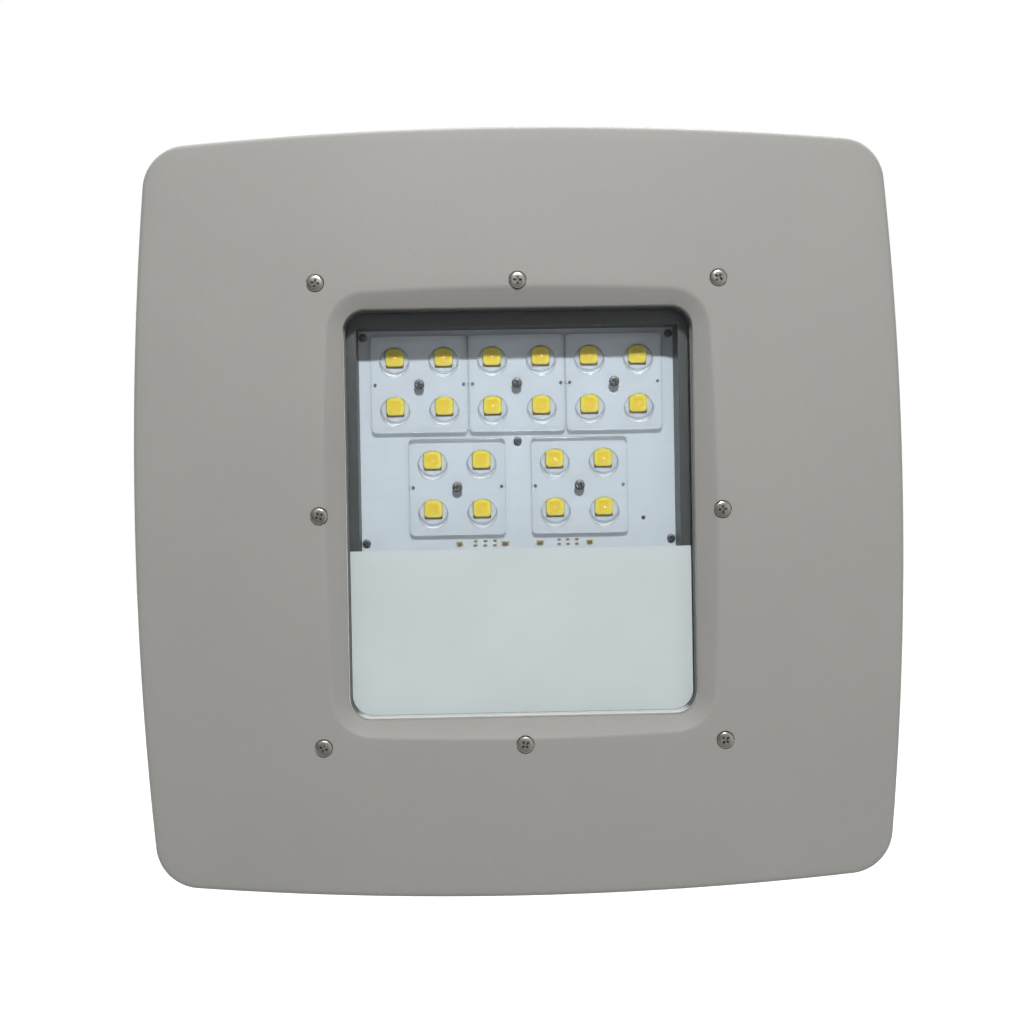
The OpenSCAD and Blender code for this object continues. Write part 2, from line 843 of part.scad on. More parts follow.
// Rear housing: front flange, box round the board and the driver, fins, bosses, lugs and feet
module rear_housing() {
    color([0.55, 0.54, 0.52])
        upright()
            difference() {
                union() {
                    rounded_block(housing_w, housing_h, housing_r, flange_back_z, rim_z);
                    housing_box();
                    intersection() {
                        housing_fins();
                        fin_space();
                    }
                    for (p = screw_places)
                        translate([p[0], p[1], flange_back_z - boss_len])
                            cylinder(h = boss_len + eps, r = boss_r);
                    both_sides() {
                        hinge_lug();
                        housing_foot();
                        conduit_hub();
                    }
                }
                housing_cavity();
                for (p = screw_places)
                    translate([p[0], p[1], dome_z(p) - screw_sink - screw_len - tip_room])
                        cylinder(h = screw_len, r = screw_r + fit_gap);
                for (p = board_screw_places)
                    translate([p[0], p[1], board_z - board_screw_len - tip_room])
                        cylinder(h = board_screw_len, r = board_screw_r + fit_gap);
                translate([0, -inlet_y, box_back_z - eps])
                    cylinder(h = floor_t + 2 * eps, r = gland_r + hole_gap);
                translate([vent_x, -vent_y, box_back_z - eps])
                    cylinder(h = floor_t + 2 * eps, r = vent_r + fit_gap);
                translate([-inner_earth_x, inner_earth_y, floor_z - inner_earth_depth])
                    cylinder(h = inner_earth_depth + eps, r = earth_r + fit_gap);
                for (i = [-1, 1])
                    translate([i * driver_screw_x, -driver_y, floor_z - driver_screw_depth])
                        cylinder(h = driver_screw_depth + eps, r = driver_screw_r + fit_gap);
                both_sides() {
                    translate([lug_x - eps, hinge_y, hinge_z])
                        rotate([0, 90, 0])
                            cylinder(h = lug_t + 2 * eps, r = pin_r + fit_gap);
                    translate([thumb_x, -foot_face_y - eps, thumb_z])
                        rotate([-90, 0, 0])
                            cylinder(h = foot_h + eps - foot_wall, r = thumb_r + fit_gap);
                    translate([cavity_w / 2 - eps, -hub_y, hub_z])
                        rotate([0, 90, 0])
                            cylinder(h = housing_w / 2, r = hub_bore_r);
                }
            }
}

// Outside of the box: shallow behind the LED board, deep behind the driver
module housing_box() {
    outer_w = cavity_w + 2 * box_wall;
    outer_h = cavity_h + 2 * box_wall;
    outer_r = cavity_r + box_wall;
    rounded_block(outer_w, outer_h, outer_r, seat_back_z, rim_z - eps);
    intersection() {
        rounded_block(outer_w, outer_h, outer_r, box_back_z, seat_z);
        translate([-outer_w, -outer_h - seat_foot, box_back_z - eps])
            cube([2 * outer_w, outer_h, seat_z]);
    }
}

// Inside of the box
module housing_cavity() {
    rounded_block(cavity_w, cavity_h, cavity_r, seat_z, rim_z + eps);
    intersection() {
        rounded_block(cavity_w, cavity_h, cavity_r, floor_z, rim_z);
        translate([-cavity_w, step_y - cavity_h, floor_z - eps])
            cube([2 * cavity_w, cavity_h, seat_z]);
    }
}

// Upright fins across the whole back
module housing_fins() {
    for (i = [0:fin_n - 1])
        translate([(i - (fin_n - 1) / 2) * fin_pitch - fin_t / 2, -housing_h / 2, fin_tip_z])
            cube([fin_t, housing_h, flange_back_z - fin_tip_z + eps]);
}

// The space that the fins fill: shorter behind the driver box and near the hinge
module fin_space() {
    intersection() {
        rounded_block(housing_w, housing_h, housing_r, fin_tip_z, flange_back_z + eps);
        union() {
            translate([-housing_w / 2, -seat_foot, fin_tip_z])
                cube([housing_w, seat_foot + hinge_zone_y, rim_z]);
            translate([-housing_w / 2, hinge_zone_y - eps, hinge_zone_z])
                cube([housing_w, housing_h, rim_z]);
            translate([-housing_w / 2, -housing_h / 2, box_back_z])
                cube([housing_w, housing_h / 2, rim_z]);
        }
    }
}

// Lug that a hinge pin passes, with the flat heel that meets the plate at the end of the swing
module hinge_lug() {
    lug_r = hinge_z - plate_t - 2 * fit_gap - seat_gap;
    heel = hinge_z - plate_t - seat_gap;
    along_x(lug_x, lug_t) {
        translate([hinge_y, hinge_z])
            circle(lug_r);
        translate([hinge_y - lug_r, hinge_z])
            square([2 * lug_r, flange_back_z - hinge_z + eps]);
        translate([hinge_y, hinge_z])
            rotate(swing - 90)
                square([heel, lug_r]);
    }
}

// Foot that rests on the plate and takes a thumbscrew, with a wall past the screw's hole
plate_foot = housing_h / 2 - plate_in;
foot_face_y = plate_foot - plate_t - free_gap;
foot_wall = 2;
module housing_foot() {
    foot_z = plate_t + seat_gap;
    translate([thumb_x - foot_w / 2, -foot_face_y, foot_z])
        cube([foot_w, foot_h, flange_back_z - foot_z + eps]);
}

// Side hub of a spare conduit entry
hub_y = hub_drop - step_y;
hub_z = (floor_z + flange_back_z) / 2;
module conduit_hub() {
    translate([cavity_w / 2 + box_wall / 2, -hub_y, hub_z])
        rotate([0, 90, 0])
            cylinder(h = (housing_w - cavity_w - box_wall) / 2, r = hub_r);
}

// Threaded plugs in the two conduit hubs, each with a hexagon socket
module conduit_plugs() {
    color([0.5, 0.5, 0.5])
        upright()
            both_sides()
                translate([housing_w / 2 - plug_len, -hub_y, hub_z])
                    rotate([0, 90, 0])
                        difference() {
                            cylinder(h = plug_len, r = hub_bore_r - fit_gap);
                            translate([0, 0, plug_len - socket_depth])
                                cylinder(h = socket_depth + eps, r = socket_af / sqrt(3), $fn = 6);
                        }
}

// Breather vent in the floor of the driver box
vent_x = cavity_w / 2 - vent_in;
vent_y = vent_drop - step_y;
module breather_vent() {
    color([0.1, 0.1, 0.1])
        upright()
            translate([vent_x, -vent_y, box_back_z]) {
                translate([0, 0, -vent_head_h])
                    cylinder(h = vent_head_h, r = vent_head_r);
                translate([0, 0, -eps])
                    cylinder(h = floor_t + eps, r = vent_r);
            }
}

// Earth screw in the driver box, a little below the box's top wall
inner_earth_drop = 8;
inner_earth_x = cavity_w / 2 - inner_earth_in;
inner_earth_y = step_y - inner_earth_drop;
module housing_earth_screw() {
    color([0.2, 0.5, 0.25])
        upright()
            translate([-inner_earth_x, inner_earth_y, floor_z])
                pan_screw(earth_r, earth_head_r, earth_head_h, inner_earth_depth);
}

// LED driver: potted box with flat feet under its end caps
driver_screw_x = driver_w / 2 + cap_t + foot_len / 2;
module led_driver() {
    groove_n = 5;
    groove_w = 2;
    groove_d = 1;
    groove_dy = driver_h / (groove_n + 1);
    color([0.8, 0.8, 0.78])
        upright()
            translate([-driver_w / 2, -driver_y - driver_h / 2, floor_z])
                difference() {
                    cube([driver_w, driver_h, driver_d]);
                    for (i = [1:groove_n])
                        translate([-eps, i * groove_dy - groove_w / 2, driver_d - groove_d])
                            cube([driver_w + 2 * eps, groove_w, groove_d + eps]);
                }
}

// Two end caps with the driver's feet
module driver_caps() {
    color([0.2, 0.2, 0.2])
        upright()
            both_sides()
                difference() {
                    union() {
                        translate([driver_w / 2, -driver_y - driver_h / 2, floor_z])
                            cube([cap_t, driver_h, driver_d]);
                        translate([driver_w / 2, -driver_y - driver_h / 4, floor_z])
                            cube([cap_t + foot_len, driver_h / 2, foot_t]);
                    }
                    translate([driver_screw_x, -driver_y, floor_z - eps])
                        cylinder(h = foot_t + 2 * eps, r = driver_screw_r + hole_gap);
                }
}

// Screws through the driver's feet
module driver_screws() {
    head_r = 3.4;
    head_h = 2;
    color([0.7, 0.7, 0.7])
        upright()
            for (i = [-1, 1])
                translate([i * driver_screw_x, -driver_y, floor_z + foot_t])
                    pan_screw(driver_screw_r, head_r, head_h, foot_t + driver_screw_depth - tip_room);
}

// Terminal block beside the inlet, with three screw wells
block_wells = [-well_pitch, 0, well_pitch];
block_y = strip_gap + block_h / 2 - step_y;
module terminal_block() {
    color([0.9, 0.9, 0.86])
        upright()
            difference() {
                translate([-strip_x - block_w / 2, -block_y - block_h / 2, floor_z])
                    cube([block_w, block_h, block_d]);
                for (x = block_wells)
                    translate([x - strip_x, -block_y, floor_z + block_d - well_depth])
                        cylinder(h = well_depth + eps, r = well_r);
            }
}

// Clamping screws in the terminal block's wells
module terminal_screws() {
    slot_w = 0.8;
    slot_d = 1;
    screw_h = 3;
    color([0.8, 0.75, 0.5])
        upright()
            for (x = block_wells)
                translate([x - strip_x, -block_y, floor_z + block_d - well_depth])
                    difference() {
                        cylinder(h = screw_h, r = well_r - fit_gap);
                        translate([-well_r, -slot_w / 2, screw_h - slot_d])
                            cube([2 * well_r, slot_w, slot_d + eps]);
                    }
}

// Surge protector on the other side of the inlet
surge_y = strip_gap + surge_h / 2 - step_y;
module surge_protector() {
    color([0.15, 0.15, 0.16])
        upright()
            translate([strip_x - surge_w / 2, -surge_y - surge_h / 2, floor_z])
                cube([surge_w, surge_h, surge_d]);
}

// Two leads from the surge protector across to the terminal block, just below its top
surge_lead_dy = 4;
surge_lead_drop = 2.2;
module surge_leads() {
    lead_z = floor_z + block_d - surge_lead_drop;
    x0 = -strip_x + block_w / 2;
    x1 = strip_x - surge_w / 2;
    color([0.1, 0.1, 0.1])
        upright()
            for (j = [-1, 1])
                translate([x0, -block_y + j * surge_lead_dy, lead_z])
                    rotate([0, 90, 0])
                        cylinder(h = x1 - x0, r = lead_r);
}

// Lead that leaves the driver's right end, bends up beside the wall and comes back at y1
module driver_lead(x0, y0, x1, y1, z, bend_x) {
    turn_x = bend_x - lead_bend;
    translate([x0, y0, z])
        rotate([0, 90, 0])
            cylinder(h = turn_x - x0, r = lead_r);
    translate([turn_x, y0 + lead_bend, z])
        rotate(-90)
            lead_quarter();
    translate([bend_x, y0 + lead_bend, z])
        rotate([-90, 0, 0])
            cylinder(h = y1 - y0 - 2 * lead_bend, r = lead_r);
    translate([turn_x, y1 - lead_bend, z])
        lead_quarter();
    translate([x1, y1, z])
        rotate([0, 90, 0])
            cylinder(h = turn_x - x1, r = lead_r);
}

module lead_quarter() {
    rotate_extrude(angle = 90)
        translate([lead_bend, 0])
            circle(lead_r, $fn = lead_fn);
}

// How far the upright runs of the leads keep from the box's side wall
lead_wall_gap = 3.4;
bend_x = cavity_w / 2 - lead_wall_gap;

// Mains leads from the driver's left end to the terminal block, at three heights above the floor
mains_low = 3.6;
mains_step = 4.6;
mains_from = 8;
mains_into = 4;
module mains_lead(i) {
    y0 = -driver_y + mains_from;
    y1 = -block_y - block_h / 2 + mains_into;
    mirror([1, 0, 0])
        driver_lead(driver_w / 2 + cap_t, y0, strip_x + block_w / 2, y1,
            floor_z + mains_low + i * mains_step, bend_x);
}

module lead_live() {
    color([0.1, 0.1, 0.1])
        upright()
            mains_lead(2);
}

module lead_neutral() {
    color([0.9, 0.9, 0.9])
        upright()
            mains_lead(1);
}

module lead_earth() {
    color([0.2, 0.55, 0.25])
        upright()
            mains_lead(0);
}

// Low-voltage leads from the driver's right end to the board's connector
output_z = board_z + connector_d / 2;
output_dz = 1.5;
output_dy = 3;
module output_lead(side) {
    driver_lead(driver_w / 2 + cap_t, -driver_y + side * output_dy, connector_x + connector_w / 2,
        connector_y, output_z + side * output_dz, bend_x);
}

module lead_plus() {
    color([0.75, 0.1, 0.1])
        upright()
            output_lead(1);
}

module lead_minus() {
    color([0.1, 0.1, 0.12])
        upright()
            output_lead(-1);
}

// Supply inlet: gland body behind the floor, with a thread up through it and the nut
gland_over = 2;
gland_back_z = box_back_z - gland_hex_h - gland_tail;
gland_top_z = floor_z + gland_hex_h + gland_over;
module inlet_gland() {
    color([0.16, 0.16, 0.16])
        upright()
            translate([0, -inlet_y, 0])
                difference() {
                    union() {
                        translate([0, 0, box_back_z - gland_hex_h])
                            cylinder(h = gland_hex_h, r = gland_hex / sqrt(3), $fn = 6);
                        translate([0, 0, gland_back_z])
                            cylinder(h = gland_top_z - gland_back_z, r = gland_r);
                    }
                    translate([0, 0, gland_back_z - eps])
                        cylinder(h = gland_top_z - gland_back_z + 2 * eps, r = inlet_bore_r + bush_t);
                }
}

// Rubber bush inside the gland, with the cable bore
module gland_bush() {
    color([0.08, 0.08, 0.08])
        upright()
            translate([0, -inlet_y, gland_back_z])
                difference() {
                    cylinder(h = gland_top_z - gland_back_z, r = inlet_bore_r + bush_t);
                    translate([0, 0, -eps])
                        cylinder(h = gland_top_z - gland_back_z + 2 * eps, r = inlet_bore_r);
                }
}

// Nut on the gland inside the box
module gland_nut() {
    color([0.16, 0.16, 0.16])
        upright()
            translate([0, -inlet_y, floor_z])
                difference() {
                    cylinder(h = gland_hex_h, r = gland_hex / sqrt(3), $fn = 6);
                    translate([0, 0, -eps])
                        cylinder(h = gland_hex_h + 2 * eps, r = gland_r + fit_gap);
                }
}

// Mounting plate: back plate with slots, two hinge ears and a foot flange with open slots
plate_top = hinge_y + plate_over;
slot_dx = plate_w - 2 * slot_in;
slot_dy = 2 * (plate_top - slot_drop);
ear_gap = seat_gap;
ear_x = lug_x + lug_t + ear_gap;
module mounting_plate() {
    side_margin = 8;
    front_margin = 2;
    flange_half = thumb_x + knob_r + side_margin;
    flange_h = thumb_z + knob_r + front_margin;
    plate_mid = (plate_top - plate_foot) / 2;
    color([0.5, 0.5, 0.5])
        upright()
            difference() {
                union() {
                    translate([0, plate_mid, 0])
                        rounded_block(plate_w, plate_top + plate_foot, plate_r, 0, plate_t);
                    both_sides()
                        along_x(ear_x, plate_t) {
                            translate([hinge_y, hinge_z])
                                circle(ear_r);
                            translate([hinge_y - ear_r, 0])
                                square([2 * ear_r, hinge_z]);
                        }
                    translate([-flange_half, -plate_foot, 0])
                        cube([2 * flange_half, plate_t, flange_h]);
                }
                for (i = [-1, 1], j = [-1, 1])
                    translate([i * slot_dx / 2, j * slot_dy / 2, -eps])
                        linear_extrude(plate_t + 2 * eps)
                            slot(slot_len, slot_r);
                for (i = [-1, 1])
                    translate([i * jbox_dx / 2, -inlet_y, -eps])
                        linear_extrude(plate_t + 2 * eps)
                            slot(jbox_len, jbox_r);
                translate([0, -inlet_y, -eps])
                    cylinder(h = plate_t + 2 * eps, r = wire_hole_r, $fn = corner_fn);
                translate([0, earth_y, -eps])
                    cylinder(h = plate_t + 2 * eps, r = earth_r + fit_gap);
                both_sides() {
                    translate([ear_x - eps, hinge_y, hinge_z])
                        rotate([0, 90, 0])
                            cylinder(h = plate_t + 2 * eps, r = pin_r + fit_gap);
                    thumb_slot();
                }
            }
}

// Slot in the foot flange, open towards the front, that a thumbscrew's shank swings out of
module thumb_slot() {
    slot_half = thumb_r + thumb_gap;
    translate([thumb_x, -plate_foot - eps, thumb_z])
        rotate([-90, 0, 0])
            cylinder(h = plate_t + 2 * eps, r = slot_half);
    translate([thumb_x - slot_half, -plate_foot - eps, thumb_z])
        cube([2 * slot_half, plate_t + 2 * eps, 2 * knob_r]);
}

// Green earth screw on the plate
module plate_earth_screw() {
    color([0.2, 0.5, 0.25])
        upright()
            translate([0, earth_y, plate_t])
                pan_screw(earth_r, earth_head_r, earth_head_h, plate_t - tip_room);
}

// Hinge pins: a head outside the ear and a groove for the clip beside the lug
module hinge_pins() {
    x0 = lug_x - ear_gap - clip_t - pin_tail;
    x1 = ear_x + plate_t + ear_gap;
    color([0.75, 0.75, 0.75])
        upright()
            both_sides()
                translate([0, hinge_y, hinge_z])
                    rotate([0, 90, 0])
                        difference() {
                            union() {
                                translate([0, 0, x0])
                                    cylinder(h = x1 - x0 + eps, r = pin_r);
                                translate([0, 0, x1])
                                    cylinder(h = pin_head_h, r = pin_head_r);
                            }
                            translate([0, 0, lug_x - ear_gap - clip_t])
                                difference() {
                                    cylinder(h = clip_t, r = pin_r + eps);
                                    cylinder(h = clip_t, r = groove_r);
                                }
                        }
}

// Open clips in the pins' grooves
module hinge_clips() {
    mouth = 3;
    color([0.3, 0.3, 0.3])
        upright()
            both_sides()
                translate([lug_x - ear_gap - clip_t, hinge_y, hinge_z])
                    rotate([0, 90, 0])
                        difference() {
                            cylinder(h = clip_t, r = clip_r);
                            translate([0, 0, -eps])
                                cylinder(h = clip_t + 2 * eps, r = groove_r);
                            translate([0, -mouth / 2, -eps])
                                cube([clip_r + eps, mouth, clip_t + 2 * eps]);
                        }
}

// Thumbscrew: grooved knob under the plate's foot flange, shank up into the housing's foot
module thumbscrew(side) {
    groove_cut = 1.6;
    end_room = 2;
    shank = plate_t + 2 * free_gap + foot_h - foot_wall - end_room;
    color([0.35, 0.35, 0.36])
        upright()
            translate([side * thumb_x, -plate_foot - free_gap, thumb_z])
                rotate([-90, 0, 0]) {
                    cylinder(h = shank, r = thumb_r);
                    translate([0, 0, -knob_h])
                        difference() {
                            cylinder(h = knob_h, r = knob_r);
                            for (i = [0:knob_grooves - 1])
                                rotate(i * 360 / knob_grooves)
                                    translate([knob_r + groove_cut / 2, 0, -eps])
                                        cylinder(h = knob_h + 2 * eps, r = groove_cut);
                        }
                }
}

module thumbscrew_left() thumbscrew(-1);
module thumbscrew_right() thumbscrew(1);

mounting_plate();
plate_earth_screw();
rear_housing();
hinge_pins();
hinge_clips();
front_frame();
frame_screws();
window_glass();
glass_seal();
driver_shield();
chamber_liner();
thermal_pad();
led_board();
lens_module_1();
lens_module_2();
lens_module_3();
lens_module_4();
lens_module_5();
led_chips();
lens_screws();
board_screws();
board_connector();
board_parts();
led_driver();
driver_caps();
driver_screws();
terminal_block();
terminal_screws();
surge_protector();
surge_leads();
lead_live();
lead_neutral();
lead_earth();
lead_plus();
lead_minus();
inlet_gland();
gland_bush();
gland_nut();
conduit_plugs();
breather_vent();
housing_earth_screw();
thumbscrew_left();
thumbscrew_right();
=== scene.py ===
import math

import bmesh
import bpy
from mathutils import Matrix, Vector


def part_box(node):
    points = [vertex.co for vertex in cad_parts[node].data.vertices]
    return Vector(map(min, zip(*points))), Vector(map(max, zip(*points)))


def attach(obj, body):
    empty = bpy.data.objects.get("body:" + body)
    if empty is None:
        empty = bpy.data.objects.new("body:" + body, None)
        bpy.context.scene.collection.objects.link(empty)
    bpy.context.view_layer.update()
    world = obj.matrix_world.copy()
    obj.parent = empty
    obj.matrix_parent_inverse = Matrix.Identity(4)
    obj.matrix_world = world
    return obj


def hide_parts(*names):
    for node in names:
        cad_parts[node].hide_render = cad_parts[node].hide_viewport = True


bl_info = {
    "name": "Canopy flood light",
    "version": (1, 0, 0),
    "blender": (4, 5, 0),
    "location": "3D View > Sidebar > Flood light",
    "description": "Models and finishes the visible parts of a square canopy flood light",
    "category": "Object",
}

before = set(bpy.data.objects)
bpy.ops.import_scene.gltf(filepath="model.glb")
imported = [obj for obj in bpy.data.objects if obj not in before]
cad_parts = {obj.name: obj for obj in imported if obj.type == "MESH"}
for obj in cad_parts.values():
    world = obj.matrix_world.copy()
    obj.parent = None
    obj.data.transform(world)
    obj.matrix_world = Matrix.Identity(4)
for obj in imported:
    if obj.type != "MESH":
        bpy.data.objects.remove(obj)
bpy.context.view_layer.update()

# The body that every modelled piece rides on
LAMP = "lamp"
FRAME_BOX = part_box("front_frame")
SEAL_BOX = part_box("glass_seal")
BOARD_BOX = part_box("led_board")
MODULES = ["lens_module_1", "lens_module_2", "lens_module_3", "lens_module_4", "lens_module_5"]

# Width of the face, and heights in front of the wall
FACE_W = FRAME_BOX[1].x - FRAME_BOX[0].x
SKIRT_REAR = -FRAME_BOX[1].y
SEAL_FRONT = -SEAL_BOX[0].y
RIM_REAR = -SEAL_BOX[1].y
BOARD_FRONT = -BOARD_BOX[0].y

# Finishes made so far, by name
FINISHES = {}

# Points on each corner arc and inside each side of an outline, and steps round a full circle
ARC_STEPS = 14
SIDE_STEPS = 26
CIRCLE_STEPS = 48

# Rings over the frame's face, round its edge and under its face, and steps over a soft corner
FACE_RINGS = 16
EDGE_RINGS = 6
UNDER_RINGS = 10
SOFT_STEPS = 4

# Radius of the small flat at the top of a turned dome, as a share of the dome's radius
POLE = 0.02


def length_property(name, description, default):
    return bpy.props.FloatProperty(
        name=name, description=description, default=default, unit="LENGTH")


def power_property(name, description, default):
    return bpy.props.FloatProperty(
        name=name, description=description, default=default, unit="POWER")


def colour_property(name, description, default):
    return bpy.props.FloatVectorProperty(
        name=name, description=description, default=default, subtype="COLOR")


class FloodLightSizes(bpy.types.PropertyGroup):
    """Sizes of the modelled pieces"""
    bow_r: length_property("Side bow", "Radius of each bowed side of the frame", 2.09)
    corner_r: length_property("Corners", "Radius of the frame's corners", 0.022)
    dome_r: length_property("Dome", "Radius of the frame's shallow dome", 2.6)
    apex: length_property("Dome height", "Height of the dome's middle in front of the wall", 0.096)
    frame_t: length_property("Frame wall", "Thickness of the domed face", 0.005)
    skirt_t: length_property("Skirt wall", "Thickness of the skirt", 0.004)
    edge_r: length_property("Edge rounding", "Radius of the frame's outer edge", 0.0026)
    window_w: length_property("Window width", "Width at the foot of the bevel", 0.1725)
    window_h: length_property("Window height", "Height at the foot of the bevel", 0.2025)
    window_r: length_property("Window corners", "Corner radius of the window", 0.011)
    lip_t: length_property("Lip", "Thickness of the lip in front of the seal", 0.006)
    bevel_slope: bpy.props.FloatProperty(
        name="Bevel slope", description="Width of the window's bevel over its height", default=1.7)
    lip_soft: length_property("Lip rounding", "Rounding of the lip's edge", 0.0005)
    crest_soft: length_property(
        "Crest rounding", "Rounding where the bevel meets the dome", 0.0014)
    rim_w: length_property("Rim", "Width of the solid rim round the window", 0.01875)
    rib_t: length_property("Ribs", "Thickness of the ribs behind the face", 0.003)
    rib_x: length_property("Rib place", "Distance of the ribs from the middle", 0.06)
    screw_dx: length_property("Screws across", "Distance between left and right screws", 0.198)
    screw_dy: length_property("Screws up", "Distance between top and bottom screws", 0.228)
    screw_sink: length_property("Screw seat", "Depth of the screws' flat seats", 0.0013)
    head_r: length_property("Screw heads", "Radius of the frame screws' heads", 0.0042)
    head_h: length_property("Head height", "Height of the frame screws' heads", 0.0026)
    shank_r: length_property("Screw shanks", "Radius of the frame screws' shanks", 0.0024)
    module_w: length_property("Lens module", "Width of a lens module", 0.0492)
    module_t: length_property("Lens plate", "Thickness of a lens module's plate", 0.004)
    module_gap: length_property(
        "Module gap", "Gap between a lens module's back and the board", 0.00012)
    led_pitch: length_property("LED pitch", "Spacing of the LEDs in a module", 0.025)
    led_w: length_property("LED width", "Width of an LED", 0.0067)
    led_h: length_property("LED height", "Height of an LED", 0.0012)
    dome_lens_r: length_property("Lens domes", "Radius of the domes over the LEDs", 0.008)
    dome_lens_z: length_property(
        "Dome centre", "Height of the domes' centres above the board", 0.002)
    dome_drop: length_property(
        "Dome drop", "Distance of the domes below the module's grid", 0.0013)
    led_rise: length_property("LED rise", "Distance of the LEDs above the module's grid", 0.0007)


class FloodLightColours(bpy.types.PropertyGroup):
    """Colours of the main finishes"""
    paint: colour_property("Paint", "Powder coat of the castings", (0.292, 0.286, 0.269))
    shield: colour_property("Shield", "White sheet over the driver", (0.62, 0.643, 0.66))
    board: colour_property("LED board", "White mask of the LED board", (0.66, 0.7, 0.78))
    liner: colour_property("Liner", "Dark liner round the LED board", (0.03, 0.031, 0.032))
    phosphor: colour_property("LEDs", "Yellow middle of the LEDs", (0.93, 0.64, 0.015))
    phosphor_rim: colour_property("LED rims", "Paler body of the LEDs", (0.93, 0.76, 0.09))


class FloodLightStage(bpy.types.PropertyGroup):
    """Camera and light"""
    lens: bpy.props.FloatProperty(
        name="Lens", description="Focal length of the camera", default=63.91, unit="CAMERA")
    camera_place: bpy.props.FloatVectorProperty(
        name="Camera", description="Place of the camera", subtype="TRANSLATION",
        default=(-0.02845, -0.98443, 0.01526))
    camera_turn: bpy.props.FloatVectorProperty(
        name="Camera turn", description="Turn of the camera about X, Y and Z", subtype="EULER",
        default=(math.radians(89.046), math.radians(0.997), math.radians(-1.547)))
    floor_drop: length_property("Floor", "Distance of the floor below the lamp's middle", 0.45)
    key_power: power_property("Key light", "Power of the small lamp in front", 46.0)
    fill_power: power_property("Fill light", "Power of the soft lamp on the right", 0.9)
    top_power: power_property("Top light", "Power of the lamp above", 34.0)
    back_power: power_property("Back light", "Power of the lamp behind", 16.0)
    floor_lift: bpy.props.FloatProperty(
        name="Floor brightness", description="White that the camera sees there", default=0.95)
    sky_front: bpy.props.FloatProperty(
        name="Room", description="Light that comes from the camera's side", default=0.12)
    sky_behind: bpy.props.FloatProperty(
        name="Backdrop", description="Light from the white behind the flood light", default=0.8)


def sizes():
    return bpy.context.scene.flood_light_sizes


def colours():
    return bpy.context.scene.flood_light_colours


# Places: a plan place is x to the right, y up and z out of the wall

def row(x, y, z):
    return Vector((x, -z, y))


def middle(box):
    return (box[0] + box[1]) / 2


def dome_height(x, y):
    """Height of the domed face in front of the wall at a plan place."""
    v = sizes()
    return v.apex - v.dome_r + math.sqrt(v.dome_r ** 2 - x * x - y * y)


def under_height(x, y):
    """Height of the underside of the domed face."""
    v = sizes()
    r = v.dome_r - v.frame_t
    return v.apex - v.dome_r + math.sqrt(r * r - x * x - y * y)


# Outlines: lists of plan points with their outward normals, corner by corner

def arc_and_side(corner, radius, turn, side_centre, side_radius):
    """One quarter of an outline: a corner arc, then the side that follows it, anticlockwise."""
    points = []
    for i in range(ARC_STEPS + 1):
        a = turn + (math.pi / 2 - 2 * turn) * i / ARC_STEPS
        n = Vector((math.cos(a), math.sin(a)))
        points.append((corner + radius * n, n))
    start = points[-1][0]
    end = Vector((-start.x, start.y))
    for i in range(1, SIDE_STEPS + 1):
        share = i / (SIDE_STEPS + 1)
        if side_radius:
            a = math.pi / 2 - turn + 2 * turn * share
            n = Vector((math.cos(a), math.sin(a)))
            points.append((side_centre + side_radius * n, n))
        else:
            points.append((start.lerp(end, share), Vector((0, 1))))
    return points


def bowed_square(inset):
    """Outline of the frame, moved inwards by inset."""
    bow, r = sizes().bow_r, sizes().corner_r
    a = bow - FACE_W / 2
    k = (math.sqrt(2 * (bow - r) ** 2 - a * a) - a) / 2
    turn = math.atan2(k, k + a)
    quarter = arc_and_side(Vector((k, k)), r - inset, turn, Vector((0, -a)), bow - inset)
    return all_quarters(quarter, quarter)


def rounded_rect(w, h, r):
    """Outline of a rectangle with rounded corners."""
    upright = arc_and_side(Vector((w / 2 - r, h / 2 - r)), r, 0, None, 0)
    lying = arc_and_side(Vector((h / 2 - r, w / 2 - r)), r, 0, None, 0)
    return all_quarters(upright, lying)


def all_quarters(even, odd):
    """Four turned quarters as one outline."""
    points = []
    for q in range(4):
        turn = Matrix.Rotation(math.pi / 2 * q, 2)
        for p, n in (even, odd)[q % 2]:
            points.append((turn @ p, turn @ n))
    return points


def ring_at(outline, z):
    """A ring of row places along an outline, at one height or at heights by place."""
    return [row(p.x, p.y, z(p.x, p.y) if callable(z) else z) for p, _ in outline]


def ring_between(inner, outer, share, height):
    """A ring part of the way between two outlines, on a curved surface."""
    ring = []
    for (p, _), (q, _) in zip(inner, outer):
        m = p.lerp(q, share)
        ring.append(row(m.x, m.y, height(m.x, m.y)))
    return ring


def quarter_turn(steps):
    """Angles from 0 up to a right angle, which is left out."""
    return [math.pi / 2 * i / steps for i in range(steps)]


def circle_ring(centre, radius, z, steps=CIRCLE_STEPS):
    return [row(centre.x + radius * math.cos(2 * math.pi * i / steps),
                centre.y + radius * math.sin(2 * math.pi * i / steps), z) for i in range(steps)]


# Modelling by hand: each step is an operator on what is selected

def deselect():
    if bpy.context.object and bpy.context.object.mode != "OBJECT":
        bpy.ops.object.mode_set(mode="OBJECT")
    bpy.ops.object.select_all(action="DESELECT")


def new_piece(name):
    piece = bpy.context.object
    piece.name = name
    piece.data.name = name
    return piece


def place_key(place):
    """A place as a key that finds it again."""
    return tuple(round(c, 7) for c in place)


